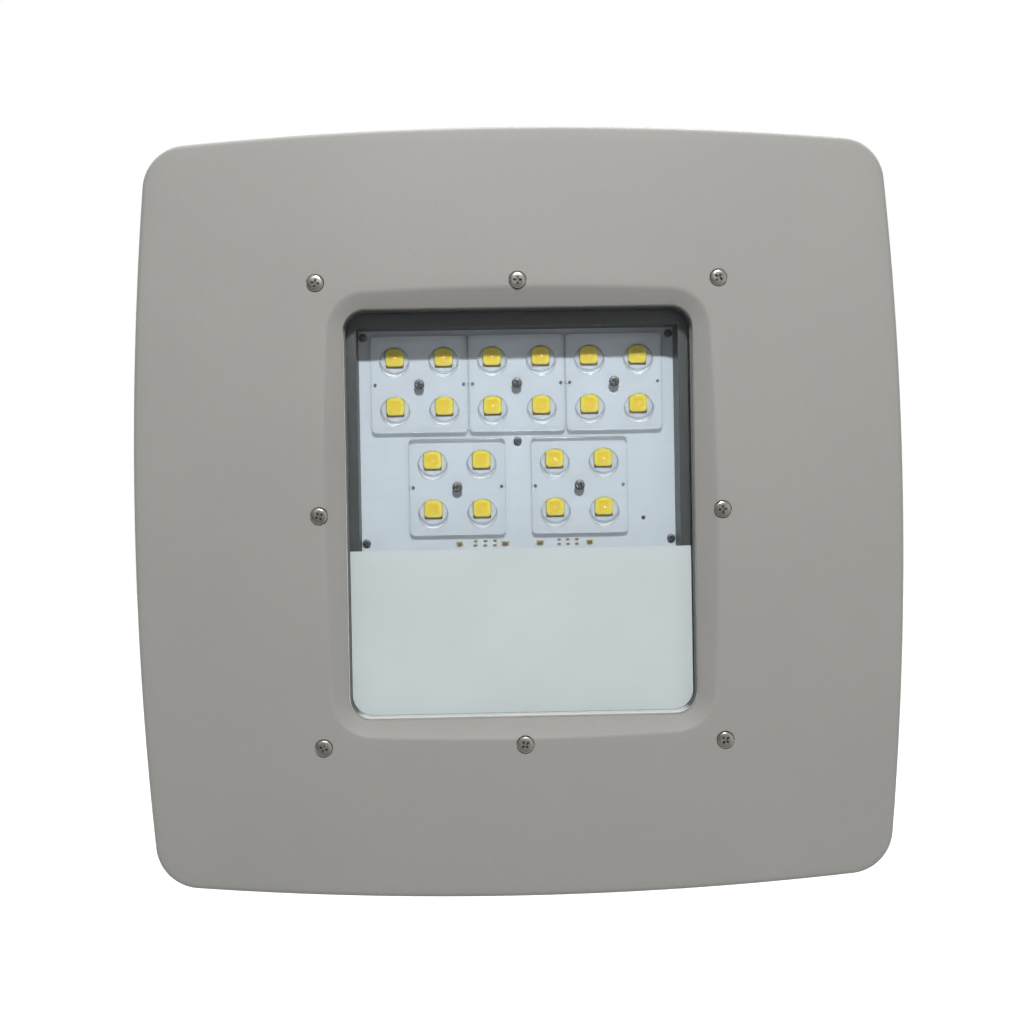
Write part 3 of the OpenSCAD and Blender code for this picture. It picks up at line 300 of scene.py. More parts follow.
def loft(name, rings, ends):
    """Extrudes a loop of edges from ring to ring. The two ends are filled, or joined."""
    deselect()
    bpy.ops.mesh.primitive_circle_add(vertices=len(rings[0]), radius=1, fill_type="NOTHING")
    piece = new_piece(name)
    for vertex, place in zip(piece.data.vertices, rings[0]):
        vertex.co = place
    bpy.ops.object.mode_set(mode="EDIT")
    bpy.ops.mesh.select_mode(type="VERT")
    bpy.ops.mesh.select_all(action="SELECT")
    if ends == "joined":
        rings = rings + [rings[0]]
    for before, after in zip(rings, rings[1:]):
        goals = {place_key(place): goal for place, goal in zip(before, after)}
        bpy.ops.mesh.extrude_region_move()
        mesh = bmesh.from_edit_mesh(piece.data)
        for vertex in mesh.verts:
            if vertex.select:
                vertex.co = goals[place_key(vertex.co)]
        bmesh.update_edit_mesh(piece.data)
    if ends == "filled":
        bpy.ops.mesh.select_all(action="SELECT")
        bpy.ops.mesh.region_to_loop()
        bpy.ops.mesh.edge_face_add()
    bpy.ops.mesh.select_all(action="SELECT")
    bpy.ops.mesh.remove_doubles(threshold=1e-6)
    bpy.ops.mesh.normals_make_consistent(inside=False)
    bpy.ops.object.mode_set(mode="OBJECT")
    return piece


def lathe(name, profile, centre=Vector((0, 0)), steps=CIRCLE_STEPS):
    """Turned piece whose axis looks out of the wall: profile holds radius and height."""
    return loft(name, [circle_ring(centre, r, z, steps) for r, z in profile], "filled")


def block(name, low, high, rounding=0.0, segments=2):
    """Box between two row corners, with its edges rounded."""
    deselect()
    low, high = Vector(low), Vector(high)
    bpy.ops.mesh.primitive_cube_add(size=1, location=(low + high) / 2, scale=high - low)
    piece = new_piece(name)
    settle(piece)
    if rounding:
        bpy.ops.object.mode_set(mode="EDIT")
        bpy.ops.mesh.select_all(action="SELECT")
        bpy.ops.mesh.bevel(offset=rounding, segments=segments, affect="EDGES")
        bpy.ops.object.mode_set(mode="OBJECT")
    return piece


def settle(piece):
    """Applies the piece's own place, turn and scale, so that its object sits at the origin."""
    deselect()
    piece.select_set(True)
    bpy.context.view_layer.objects.active = piece
    bpy.ops.object.transform_apply(location=True, rotation=True, scale=True)


def combine(piece, other, operation):
    """Applies a boolean of another mesh, which is then removed."""
    deselect()
    piece.select_set(True)
    bpy.context.view_layer.objects.active = piece
    modifier = piece.modifiers.new(operation.lower(), "BOOLEAN")
    modifier.operation = operation
    modifier.solver = "EXACT"
    modifier.object = other
    bpy.ops.object.modifier_apply(modifier=modifier.name)
    bpy.data.objects.remove(other)


def joined(name, pieces):
    """Joins pieces into one object."""
    deselect()
    for piece in pieces:
        piece.select_set(True)
    bpy.context.view_layer.objects.active = pieces[0]
    if len(pieces) > 1:
        bpy.ops.object.join()
    return new_piece(name)


def copied(piece, name, move, turn=0.0):
    """A copy with its own mesh, turned about the wall's normal and moved in the row frame."""
    copy = piece.copy()
    copy.data = piece.data.copy()
    copy.name = copy.data.name = name
    bpy.context.scene.collection.objects.link(copy)
    copy.data.transform(Matrix.Translation(move) @ Matrix.Rotation(turn, 4, "Y"))
    return copy


def smooth(piece, angle):
    """Shades smoothly, apart from edges that are sharper than an angle in degrees."""
    deselect()
    piece.select_set(True)
    bpy.context.view_layer.objects.active = piece
    bpy.ops.object.shade_smooth_by_angle(angle=math.radians(angle))


def hand_over(piece, material, slot, *nodes, body=LAMP):
    """Gives a finished piece its material, its body and the nodes that it stands for."""
    piece.data.materials.clear()
    piece.data.materials.append(material)
    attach(piece, body)
    if nodes:
        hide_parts(*nodes)


def dress(node, material):
    """Gives a CAD node a material."""
    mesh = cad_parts[node].data
    mesh.materials.clear()
    mesh.materials.append(material)


# Nodes: a value is a socket to link, or a number, colour or vector to set

def plug(tree, value, socket):
    if isinstance(value, bpy.types.NodeSocket):
        tree.links.new(value, socket)
    else:
        socket.default_value = value


def operation_node(tree, kind, operation, first, second):
    made = tree.nodes.new(kind)
    made.operation = operation
    plug(tree, first, made.inputs[0])
    plug(tree, second, made.inputs[1])
    return made


def math_node(tree, operation, first, second):
    """A number from two numbers."""
    return operation_node(tree, "ShaderNodeMath", operation, first, second).outputs[0]


def measure_node(tree, operation, first, second):
    """A number from two vectors."""
    return operation_node(tree, "ShaderNodeVectorMath", operation, first, second).outputs["Value"]


def range_node(tree, value, low, high, out_low=0.0, out_high=1.0):
    """Maps a stretch of a value onto a range."""
    made = tree.nodes.new("ShaderNodeMapRange")
    plug(tree, value, made.inputs["Value"])
    for socket, number in zip(("From Min", "From Max", "To Min", "To Max"),
                              (low, high, out_low, out_high)):
        made.inputs[socket].default_value = number
    return made.outputs["Result"]


# Materials: every pattern reads Object coordinates, in metres

class Shader:
    """Shorthand for one material's nodes."""

    def __init__(self, material):
        self.tree = material.node_tree
        self.surface = self.tree.nodes["Principled BSDF"]
        self.output = self.tree.nodes["Material Output"]
        self.place = self.tree.nodes.new("ShaderNodeTexCoord").outputs["Object"]

    def node(self, kind, **inputs):
        made = self.tree.nodes.new("ShaderNode" + kind)
        for name, value in inputs.items():
            self.plug(value, made.inputs[name.replace("_", " ")])
        return made

    def plug(self, value, socket):
        plug(self.tree, value, socket)

    def set(self, **inputs):
        for name, value in inputs.items():
            self.plug(value, self.surface.inputs[name.replace("_", " ")])

    def noise(self, scale, detail=2.0, roughness=0.5, place=None):
        made = self.node("TexNoise", Scale=scale, Detail=detail, Roughness=roughness)
        self.plug(place or self.place, made.inputs["Vector"])
        return made.outputs["Fac"]

    def mottle(self, scale, detail=2.0, roughness=0.5, low=0.0, high=1.0):
        """Noise whose middle stretch is spread over a range of values."""
        return self.spread(self.noise(scale, detail, roughness), 0.3, 0.7, low, high)

    def stretched(self, x, y, z):
        """Object coordinates scaled along each axis, for streaks."""
        made = self.node("Mapping", Scale=(x, y, z))
        self.plug(self.place, made.inputs["Vector"])
        return made.outputs["Vector"]

    def spread(self, value, low, high, out_low=0.0, out_high=1.0):
        return range_node(self.tree, value, low, high, out_low, out_high)

    def blend(self, factor, first, second):
        made = self.tree.nodes.new("ShaderNodeMix")
        made.data_type = "RGBA"
        self.plug(factor, made.inputs[0])
        for value, socket in ((first, made.inputs[6]), (second, made.inputs[7])):
            self.plug(value if isinstance(value, bpy.types.NodeSocket) else (*value[:3], 1), socket)
        return made.outputs[2]

    def tones(self, factor, colour, dark, light):
        """A colour that varies between two shades of itself."""
        return self.blend(factor, shade(colour, dark), shade(colour, light))

    def math(self, operation, first, second):
        return math_node(self.tree, operation, first, second)

    def measure(self, operation, first, second):
        return measure_node(self.tree, operation, first, second)

    def relief(self, height, strength, distance, edge=0.0):
        """Small relief, over edges that read as rounded by edge."""
        made = self.node("Bump", Strength=strength, Distance=distance)
        self.plug(height, made.inputs["Height"])
        if edge:
            rounded = self.tree.nodes.new("ShaderNodeBevel")
            rounded.samples = 6
            rounded.inputs["Radius"].default_value = edge
            self.plug(rounded.outputs["Normal"], made.inputs["Normal"])
        self.plug(made.outputs["Normal"], self.surface.inputs["Normal"])


def shade(colour, factor):
    return tuple(min(1.0, c * factor) for c in colour)


def finish(recipe):
    """Turns a recipe for a shader into a finish that is made once by its name, then handed out."""
    def finished(name, *values, **options):
        if name not in FINISHES:
            material = FINISHES[name] = bpy.data.materials.new(name)
            material.use_nodes = True
            recipe(Shader(material), *values, **options)
        return FINISHES[name]
    return finished


@finish
def powder_coat(s, colour, edge=0.0):
    """Matt grey powder coat: fine grain, soft cloudiness and a faint sparkle."""
    cloud = s.mottle(11, 3)
    grain = s.mottle(1900, 2, 0.6)
    base = s.tones(cloud, colour, 0.965, 1.03)
    s.set(Base_Color=s.blend(s.math("MULTIPLY", grain, 0.5), base, shade(colour, 1.16)),
          Roughness=s.mottle(3100, 1, low=0.48, high=0.66), Sheen_Weight=0.4, Sheen_Roughness=0.3)
    s.relief(s.noise(1500, 3, 0.6), 0.32, 0.0002, edge)


@finish
def bare_metal(s, colour, roughness, edge=0.0, streak=(40, 900, 900)):
    """Turned, rolled or plated metal with fine streaks and a few duller marks."""
    lines = s.noise(1, 3, 0.6, s.stretched(*streak))
    marks = s.spread(s.noise(160, 4, 0.6), 0.42, 0.7)
    s.set(Base_Color=s.blend(marks, colour, shade(colour, 0.72)), Metallic=1.0,
          Roughness=s.spread(lines, 0.25, 0.75, roughness - 0.08, roughness + 0.14))
    s.relief(lines, 0.12, 0.0001, edge)


@finish
def zinc_plate(s, colour, edge=0.0):
    """Zinc-plated sheet: a faint spangle with a little dulling."""
    cells = s.node("TexVoronoi", Scale=120.0)
    s.plug(s.place, cells.inputs["Vector"])
    spangle = s.spread(cells.outputs["Color"], 0.0, 1.0)
    dull = s.spread(s.noise(30, 4, 0.6), 0.35, 0.7)
    tone = s.tones(spangle, colour, 0.86, 1.1)
    s.set(Base_Color=s.blend(s.math("MULTIPLY", dull, 0.6), tone, shade(colour, 0.7)),
          Metallic=0.85, Roughness=s.spread(spangle, 0.0, 1.0, 0.34, 0.5))
    s.relief(s.noise(700, 3), 0.15, 0.0001, edge)


@finish
def moulded(s, colour, roughness=0.45, grain=900, edge=0.0):
    """Moulded plastic or rubber with a fine grain."""
    s.set(Base_Color=s.tones(s.mottle(45, 3), colour, 0.9, 1.08),
          Roughness=s.mottle(grain, 2, low=roughness - 0.06, high=roughness + 0.1))
    s.relief(s.noise(grain, 3), 0.18, 0.0001, edge)


@finish
def silicone(s, dark, pale):
    """Seal rubber, painted pale along the bottom, where the lamps light it, and dark above, where
    it lies in shade: painted light and shade by height.
    """
    # Painted light and shade: the seal turns from pale to dark between these two heights
    painted_lit_top, painted_shade_from = -0.1, -0.0975
    axes = s.node("SeparateXYZ")
    s.plug(s.place, axes.inputs[0])
    height = s.spread(axes.outputs["Z"], painted_lit_top, painted_shade_from)
    cloud = s.mottle(60, 3, low=0.92, high=1.0)
    tone = s.blend(height, pale, dark)
    s.set(Base_Color=s.blend(cloud, shade(dark, 0.8), tone),
          Roughness=s.mottle(1200, 2, low=0.42, high=0.58))
    s.relief(s.noise(1200, 3), 0.18, 0.0001)


@finish
def satin_sheet(s, colour):
    """White satin sheet behind the glass, with very soft mottling."""
    s.set(Base_Color=s.tones(s.mottle(22, 2), colour, 0.97, 1.03),
          Roughness=s.mottle(500, 2, low=0.5, high=0.62))
    s.relief(s.noise(60, 2), 0.05, 0.0004)


@finish
def board_mask(s, colour):
    """White solder mask with a small hole that is painted as a dark disc of shade, over copper
    areas whose edges show as faint lines.
    """
    hole, hole_r, hole_edge = row(0.0641, -0.0043, BOARD_FRONT), 0.0009, 0.0012
    # Painted shade: the hole is a dark disc on the mask, where the real hole would be in shade
    hole_painted_shade = (0.03, 0.03, 0.03)
    flat = s.node("Mapping", Rotation=(math.radians(90), 0, 0))
    s.plug(s.place, flat.inputs["Vector"])
    areas = s.node("TexBrick", Scale=38.0, Mortar_Size=0.012, Mortar_Smooth=0.3,
                   Brick_Width=0.9, Row_Height=0.33)
    areas.offset = 0.37
    s.plug(flat.outputs["Vector"], areas.inputs["Vector"])
    base = s.tones(s.mottle(70, 3), colour, 0.97, 1.02)
    base = s.blend(s.math("MULTIPLY", areas.outputs["Fac"], 0.16), base, shade(colour, 0.75))
    away = s.measure("DISTANCE", s.place, hole)
    s.set(Base_Color=s.blend(s.spread(away, hole_r, hole_edge), hole_painted_shade, base),
          Roughness=s.mottle(800, 2, low=0.38, high=0.5))
    s.relief(areas.outputs["Fac"], 0.1, 0.0001)


@finish
def phosphor(s, colour):
    """Yellow LED face with a fine grain, which takes a little light in."""
    s.set(Base_Color=s.tones(s.mottle(1300, 2), colour, 0.93, 1.06),
          Roughness=s.mottle(900, 2, low=0.35, high=0.5), Subsurface_Weight=0.15,
          Subsurface_Radius=(0.0012, 0.0009, 0.0003))
    s.relief(s.noise(1500, 2), 0.1, 0.0001)


@finish
def clear(s, tint, ior, smoothest, roughest, smear_scale, dark):
    """Clear glass or acrylic, darker where it is seen edge-on. Lamps and soft light pass straight
    through it, and less of them at its side walls."""
    slant_from, slant_to = 0.42, 0.7
    side_wall, face = 0.1, 0.3
    out_of_wall, smeared = (0, 1, 0), 0.985
    smear = s.spread(s.noise(smear_scale, 3), 0.4, 0.75)
    # Painted shade: the tint turns darker where the surface is seen edge-on, in place of the dark
    # outlines that refraction shows
    facing = s.node("LayerWeight", Blend=0.5).outputs["Facing"]
    edge_on = s.spread(facing, slant_from, slant_to)
    normal = s.node("TexCoord").outputs["Normal"]
    outward = s.math("ABSOLUTE", s.measure("DOT_PRODUCT", normal, out_of_wall), 0.0)
    body = s.blend(smear, tint, shade(tint, smeared))
    s.set(Base_Color=s.blend(edge_on, body, shade(tint, dark)), Transmission_Weight=1.0, IOR=ior,
          Roughness=s.spread(smear, 0.0, 1.0, smoothest, roughest))
    through = s.node("BsdfTransparent")
    s.plug(s.blend(s.spread(outward, side_wall, face), shade(tint, dark), tint),
           through.inputs[0])
    path = s.node("LightPath")
    mix = s.node("MixShader")
    s.plug(s.math("MAXIMUM", path.outputs["Is Shadow Ray"], path.outputs["Is Diffuse Ray"]),
           mix.inputs[0])
    s.plug(s.surface.outputs[0], mix.inputs[1])
    s.plug(through.outputs[0], mix.inputs[2])
    s.plug(mix.outputs[0], s.output.inputs["Surface"])


# Front frame

def frame_rings():
    """Rings round the frame's whole section, from the seal's pocket out over the face and back."""
    v = sizes()
    pocket_w = SEAL_BOX[1].x - SEAL_BOX[0].x
    pocket_h = SEAL_BOX[1].z - SEAL_BOX[0].z
    pocket_r = v.window_r + (pocket_w - v.window_w) / 2
    window = rounded_rect(v.window_w, v.window_h, v.window_r)
    pocket = rounded_rect(pocket_w, pocket_h, pocket_r)
    rim = rounded_rect(v.window_w + 2 * v.rim_w, v.window_h + 2 * v.rim_w,
                       v.window_r + v.rim_w / 2)
    lip_front = SEAL_FRONT + v.lip_t
    rings = [ring_at(pocket, RIM_REAR), ring_at(pocket, SEAL_FRONT), ring_at(window, SEAL_FRONT)]
    lips, crests, beyond = [], [], []
    for (p, n), crest in zip(window, bevel_crest(window, lip_front)):
        foot = Vector((p.x, p.y, lip_front))
        upward = (crest - foot).normalized()
        q = crest.xy + n * v.crest_soft
        beyond.append((q, n))
        lips.append(soft_corner(foot - Vector((0, 0, v.lip_soft)), foot,
                                foot + upward * v.lip_soft))
        crests.append(soft_corner(crest - upward * v.crest_soft, crest,
                                  Vector((q.x, q.y, dome_height(q.x, q.y)))))
    for ring in (*zip(*lips), *zip(*crests)):
        rings.append([row(*place) for place in ring])
    edge = bowed_square(v.edge_r)
    for i in range(1, FACE_RINGS):
        rings.append(ring_between(beyond, edge, i / FACE_RINGS, dome_height))
    for i in range(EDGE_RINGS + 1):
        a = math.pi / 2 * i / EDGE_RINGS
        inset = v.edge_r * (1 - math.sin(a))
        fall = v.edge_r * (1 - math.cos(a))
        rings.append(ring_at(bowed_square(inset), lambda x, y, f=fall: dome_height(x, y) - f))
    chamfer = 0.0006
    rings.append(ring_at(bowed_square(0), SKIRT_REAR + chamfer))
    rings.append(ring_at(bowed_square(chamfer), SKIRT_REAR))
    rings.append(ring_at(bowed_square(v.skirt_t - chamfer), SKIRT_REAR))
    inner = bowed_square(v.skirt_t)
    rings.append(ring_at(inner, SKIRT_REAR + chamfer))
    for i in range(UNDER_RINGS + 1):
        rings.append(ring_between(inner, rim, i / UNDER_RINGS, under_height))
    rings.append(ring_at(rim, RIM_REAR))
    return rings


def bevel_crest(window, foot):
    """Where the bevel meets the dome: plan x, y and height for each point of the window."""
    slope = sizes().bevel_slope
    first_guess, rounds = 0.009, 8
    crest = []
    for p, n in window:
        reach = first_guess
        for _ in range(rounds):
            q = p + n * reach
            reach = slope * (dome_height(q.x, q.y) - foot)
        crest.append(Vector((q.x, q.y, foot + reach / slope)))
    return crest


def soft_corner(before, corner, after):
    """Places along a soft corner that leaves one edge at before and meets the next at after."""
    shares = [i / SOFT_STEPS for i in range(SOFT_STEPS + 1)]
    return [before.lerp(corner, s).lerp(corner.lerp(after, s), s) for s in shares]


def screw_places():
    v = sizes()
    return [(i * v.screw_dx / 2, j * v.screw_dy / 2) for i in (-1, 0, 1) for j in (-1, 0, 1)
            if i or j]


class FLOODLIGHT_OT_front_frame(bpy.types.Operator):
    """Model the cast front frame with its bevelled window, skirt, ribs and screw seats"""
    bl_idname = "flood_light.front_frame"
    bl_label = "Front frame"

    def execute(self, context):
        v = sizes()
        casting = loft("front_frame_casting", frame_rings(), "joined")
        # The ribs run a little into the rim, the bowed skirt and the face
        into_rim, before_edge, into_face, above_rear = 0.001, 1.2, 0.4, 0.0003
        rim_x = v.window_w / 2 + v.rim_w - into_rim
        rim_y = v.window_h / 2 + v.rim_w - into_rim
        reach = FACE_W / 2 - v.skirt_t * before_edge
        rib_front = under_height(reach, v.rib_x) + v.frame_t * into_face
        rib_back = RIM_REAR + above_rear
        ribs = []
        for side in (-1, 1):
            for place in (-v.rib_x, v.rib_x):
                x = sorted((side * rim_x, side * reach))
                ribs.append(block("rib", (x[0], -rib_front, place - v.rib_t / 2),
                                  (x[1], -rib_back, place + v.rib_t / 2)))
                z = sorted((side * rim_y, side * reach))
                ribs.append(block("rib", (place - v.rib_t / 2, -rib_front, z[0]),
                                  (place + v.rib_t / 2, -rib_back, z[1])))
        combine(casting, joined("ribs", ribs), "UNION")
        hole_r, seat_r = v.shank_r + 0.00035, v.head_r + 0.00025
        below, above = 0.001, 0.004
        cutters = []
        for x, y in screw_places():
            seat = dome_height(x, y) - v.screw_sink
            profile = [(hole_r, RIM_REAR - below), (hole_r, seat), (seat_r, seat),
                       (seat_r, seat + above)]
            cutters.append(lathe("hole", profile, Vector((x, y))))
        combine(casting, joined("holes", cutters), "DIFFERENCE")
        smooth(casting, 30)
        paint = powder_coat("grey_powder_coat", tuple(colours().paint))
        hand_over(casting, paint, "frame_paint", "front_frame")
        return {"FINISHED"}


# Screws

def pan_screw(name, shank_r, head_r, head_h, length):
    """Pan-head screw at the origin, its seat at height 0, with a tapered cross recess."""
    # The head's side is upright up to this share of its height, and its dome is flat on top
    side, dome_steps = 0.45, 10
    dome = [(head_r * math.sqrt(math.cos(a)), head_h * (side + (1 - side) * math.sqrt(math.sin(a))))
            for a in quarter_turn(dome_steps)]
    profile = ([(shank_r * 0.7, -length), (shank_r, -length + shank_r * 0.4), (shank_r, 0.0),
                (head_r * 0.96, 0.0), (head_r, head_h * 0.06)] + dome
               + [(head_r * POLE * 2, head_h)])
    screw = lathe(name, profile, steps=36)
    # The recess, as shares of the head: half its length and width, its top, its foot and its taper
    arm_l, arm_w, arm_top, arm_foot, foot_l, foot_w = 0.62, 0.13, 1.2, 0.42, 0.35, 0.7
    arms = []
    for turn in (0, math.pi / 2):
        arm = block("arm", (-head_r * arm_l, -head_h * arm_top, -head_r * arm_w),
                    (head_r * arm_l, -head_h * arm_foot, head_r * arm_w))
        for vertex in arm.data.vertices:
            if vertex.co.y > -head_h * (arm_top + arm_foot) / 2:
                vertex.co.x *= foot_l
                vertex.co.z *= foot_w
        arm.data.transform(Matrix.Rotation(turn, 4, "Y"))
        arms.append(arm)
    combine(arms[0], arms[1], "UNION")
    combine(screw, arms[0], "DIFFERENCE")
    smooth(screw, 35)
    return screw


def screw_set(name, model, places, first_turn, step):
    """Copies of one screw, each turned a little further, joined into one piece."""
    copies = [copied(model, f"{name}_{i}", place, first_turn + i * step)
              for i, place in enumerate(places)]
    bpy.data.objects.remove(model)
    return joined(name, copies)


def solid_boxes(node, reach):
    """Boxes of a node's separate solids, from its vertices that lie within reach of each other."""
    found = []
    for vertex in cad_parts[node].data.vertices:
        for group in found:
            if (group[0] - vertex.co).length < reach:
                group.append(vertex.co.copy())
                break
        else:
            found.append([vertex.co.copy()])
    return [(Vector([min(p[i] for p in group) for i in range(3)]),
             Vector([max(p[i] for p in group) for i in range(3)])) for group in found]


class FLOODLIGHT_OT_screws(bpy.types.Operator):
    """Model the screws of the frame, the LED board and the lens modules"""
    bl_idname = "flood_light.screws"
    bl_label = "Screws"

    def execute(self, context):
        v = sizes()
        length, first_turn, step = 0.034, 0.35, 0.71
        model = pan_screw("frame_screw", v.shank_r, v.head_r, v.head_h, length)
        seats = [row(x, y, dome_height(x, y) - v.screw_sink) for x, y in screw_places()]
        piece = screw_set("frame_screw_set", model, seats, first_turn, step)
        steel = bare_metal("screw_steel", (0.25, 0.235, 0.22), 0.24, streak=(300, 300, 300))
        hand_over(piece, steel, "screw_steel", "frame_screws")
        small = bare_metal("small_screw_steel", (0.11, 0.11, 0.115), 0.42, streak=(300, 300, 300))
        same_screw, first_turn, step = 0.012, 0.2, 0.9
        for node, shank_r, head_r, head_h, seat, length in (
                ("board_screws", 0.0014, 0.0021, 0.0016, BOARD_FRONT, 0.0056),
                ("lens_screws", 0.0012, 0.0026, 0.0014, BOARD_FRONT + v.module_t, 0.004)):
            spots = [row((a.x + b.x) / 2, (a.z + b.z) / 2, seat)
                     for a, b in solid_boxes(node, same_screw)]
            model = pan_screw("small_screw", shank_r, head_r, head_h, length)
            piece = screw_set(node + "_set", model, spots, first_turn, step)
            hand_over(piece, small, "fastener_steel", node)
        return {"FINISHED"}


# Lens modules and LEDs

def led_offsets(up):
    """The four places of a module's grid, moved up by a length."""
    half = sizes().led_pitch / 2
    return [Vector((i * half, j * half + up)) for i in (-1, 1) for j in (-1, 1)]


def square_ring(width, corner_r, z):
    return ring_at(rounded_rect(width, width, corner_r), z)


def lens_model():
    """One lens module, centred on the origin with its back at height 0."""
    v = sizes()
    w, top = v.module_w, v.module_t
    plate = loft("lens_plate", [square_ring(w - cut, corner_r, z) for cut, corner_r, z in (
        (0, 0.0025, v.module_gap), (0, 0.0025, top - 0.0005), (0.0004, 0.0023, top - 0.0001),
        (0.001, 0.002, top))], "filled")
    dome_r, centre, dome_foot, dome_steps = v.dome_lens_r, v.dome_lens_z, 0.001, 16
    dome = [(dome_r, dome_foot)]
    dome += [(dome_r * math.cos(a), centre + dome_r * math.sin(a))
             for a in quarter_turn(dome_steps)]
    dome.append((dome_r * POLE, centre + dome_r))
    domes = [lathe("dome", dome, p) for p in led_offsets(-v.dome_drop)]
    combine(plate, joined("domes", domes), "UNION")
    # Hollows behind the domes, which hold the LEDs, and the hole for the module's screw
    below, wall_h, hollow_r, hollow_h, hollow_steps = 0.001, 0.0008, 0.0056, 0.0026, 8
    hollow = [(hollow_r, -below), (hollow_r, wall_h)]
    hollow += [(hollow_r * math.cos(a), wall_h + (hollow_h - wall_h) * math.sin(a))
               for a in quarter_turn(hollow_steps)[1:]]
    hollow.append((hollow_r * POLE, hollow_h))
    hollows = [lathe("hollow", hollow, p) for p in led_offsets(v.led_rise)]
    hole_r = 0.00155
    hollows.append(lathe("hole", [(hole_r, -below), (hole_r, top + below)], steps=24))
    combine(plate, joined("hollows", hollows), "DIFFERENCE")
    smooth(plate, 24)
    return plate


class FLOODLIGHT_OT_lens_modules(bpy.types.Operator):
    """Model the clear lens modules with four domes each, and their locating pins"""
    bl_idname = "flood_light.lens_modules"
    bl_label = "Lens modules"

    def execute(self, context):
        acrylic = clear("clear_acrylic", (0.985, 0.985, 0.99), 1.34, 0.08, 0.13, 90, 0.35)
        model = lens_model()
        pin_r, pin_h, pin_x, pin_steps = 0.0008, 0.0006, 0.0225, 16
        pins = []
        for node in MODULES:
            centre = middle(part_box(node))
            spot = row(centre.x, centre.z, BOARD_FRONT)
            piece = copied(model, node + "_clear", spot)
            hand_over(piece, acrylic, "lens_clear", node)
            for side in (-1, 1):
                pins.append(lathe("pin", [(pin_r, BOARD_FRONT), (pin_r, BOARD_FRONT + pin_h)],
                                  Vector((centre.x + side * pin_x, centre.z)), pin_steps))
        bpy.data.objects.remove(model)
        piece = joined("lens_locating_pins", pins)
        hand_over(piece, moulded("pin_plastic", (0.09, 0.1, 0.1), 0.4), "lens_clear")
        return {"FINISHED"}


class FLOODLIGHT_OT_led_chips(bpy.types.Operator):
    """Model the LEDs: a brown carrier that shows below each body as a painted shadow, a pale yellow
    body and a deeper yellow middle
    """
    bl_idname = "flood_light.led_chips"
    bl_label = "LEDs"

    def execute(self, context):
        v = sizes()
        half = v.led_w / 2
        # The brown carrier shows below the body as a painted shadow line, and the body's top lies
        # just under the top of its middle
        shadow_carrier_half, painted_shadow_drop, shadow_carrier_h, above_board = half * 0.96, 0.0005, 0.0005, 0.0001
        carrier = block("carrier", (-shadow_carrier_half, -shadow_carrier_h, -half - painted_shadow_drop),
                        (shadow_carrier_half, -above_board, half * 0.9), 0.0001, 1)
        body_r, top = 0.0014, v.led_h - 0.00004
        body = loft("body", [square_ring(v.led_w - 2 * inset, body_r, z) for inset, z in (
            (0, 0.0002), (0, top - 0.0004), (0.0001, top - 0.0001), (0.0004, top))], "filled")
        heart_w, heart_r, heart_t = v.led_w * 0.6, 0.0012, 0.0001
        heart = loft("heart", [square_ring(heart_w, heart_r, z)
                               for z in (v.led_h - heart_t, v.led_h)], "filled")
        spots = []
        for node in MODULES:
            centre = middle(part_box(node))
            spots += [row(centre.x + p.x, centre.z + p.y, BOARD_FRONT)
                      for p in led_offsets(v.led_rise)]
        # The carrier's red-brown, below each LED, is a painted shadow
        for model, material, nodes in (
                (body, phosphor("led_rim", tuple(colours().phosphor_rim)), ["led_chips"]),
                (heart, phosphor("led_heart", tuple(colours().phosphor)), []),
                (carrier, moulded("led_carrier", (0.16, 0.07, 0.03), 0.4), [])):
            smooth(model, 40)
            copies = [copied(model, f"{model.name}_{i}", spot) for i, spot in enumerate(spots)]
            name = f"led_{model.name}"
            bpy.data.objects.remove(model)
            hand_over(joined(name, copies), material, "led_yellow", *nodes)
        return {"FINISHED"}


# Board, its small parts and the chamber

# Parts along the board's lower edge in millimetres: place, width and height of the larger ones,
# then the places and the two rows of the small ones
MM_PER_M = 1000
LARGE_PARTS = ((-30.5, 2.4, 2.2), (-7.2, 2.6, 2.2), (10.6, 2.6, 2.2), (36.2, 2.4, 2.2))
SMALL_PART_PLACES = (-22.5, -17.5, -12.5, 20.5, 25.0, 29.5)
SMALL_PART_ROWS = (-0.9, 1.4)


def on_board(name, x, y, half_w, half_h, height, rounding, segments):
    """A small block that sits on the board, round a plan place."""
    return block(name, (x - half_w, -BOARD_FRONT - height, y - half_h),
                 (x + half_w, -BOARD_FRONT, y + half_h), rounding, segments)


class FLOODLIGHT_OT_led_board(bpy.types.Operator):
    """Finish the LED board and model the small parts that are soldered on it"""
    bl_idname = "flood_light.led_board"
    bl_label = "LED board"

    def execute(self, context):
        dress("led_board", board_mask("board_mask", tuple(colours().board)))
        row_y = middle(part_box("board_parts")).z
        bodies, pads = [], []
        for part in LARGE_PARTS:
            x, w, h = (value / MM_PER_M for value in part)
            pads.append(on_board("pad", x, row_y, w * 0.8, h / 2, 0.00012, 0.00004, 1))
            bodies.append(on_board("body", x, row_y, w / 2, h * 0.42, 0.0011, 0.0002, 2))
        for x in SMALL_PART_PLACES:
            for dy in SMALL_PART_ROWS:
                x_m, y_m = x / MM_PER_M, row_y + dy / MM_PER_M
                pads.append(on_board("pad", x_m, y_m, 0.0011, 0.0006, 0.0001, 0.00004, 1))
                bodies.append(on_board("body", x_m, y_m, 0.0006, 0.0005, 0.0005, 0.0001, 2))
        piece = joined("board_part_bodies", bodies)
        smooth(piece, 40)
        hand_over(piece, moulded("part_bodies", (0.2, 0.15, 0.09), 0.35), "parts_brown",
                  "board_parts")
        piece = joined("board_part_pads", pads)
        hand_over(piece, bare_metal("solder", (0.62, 0.52, 0.3), 0.3, streak=(400, 400, 400)),
                  "parts_brown")
        return {"FINISHED"}


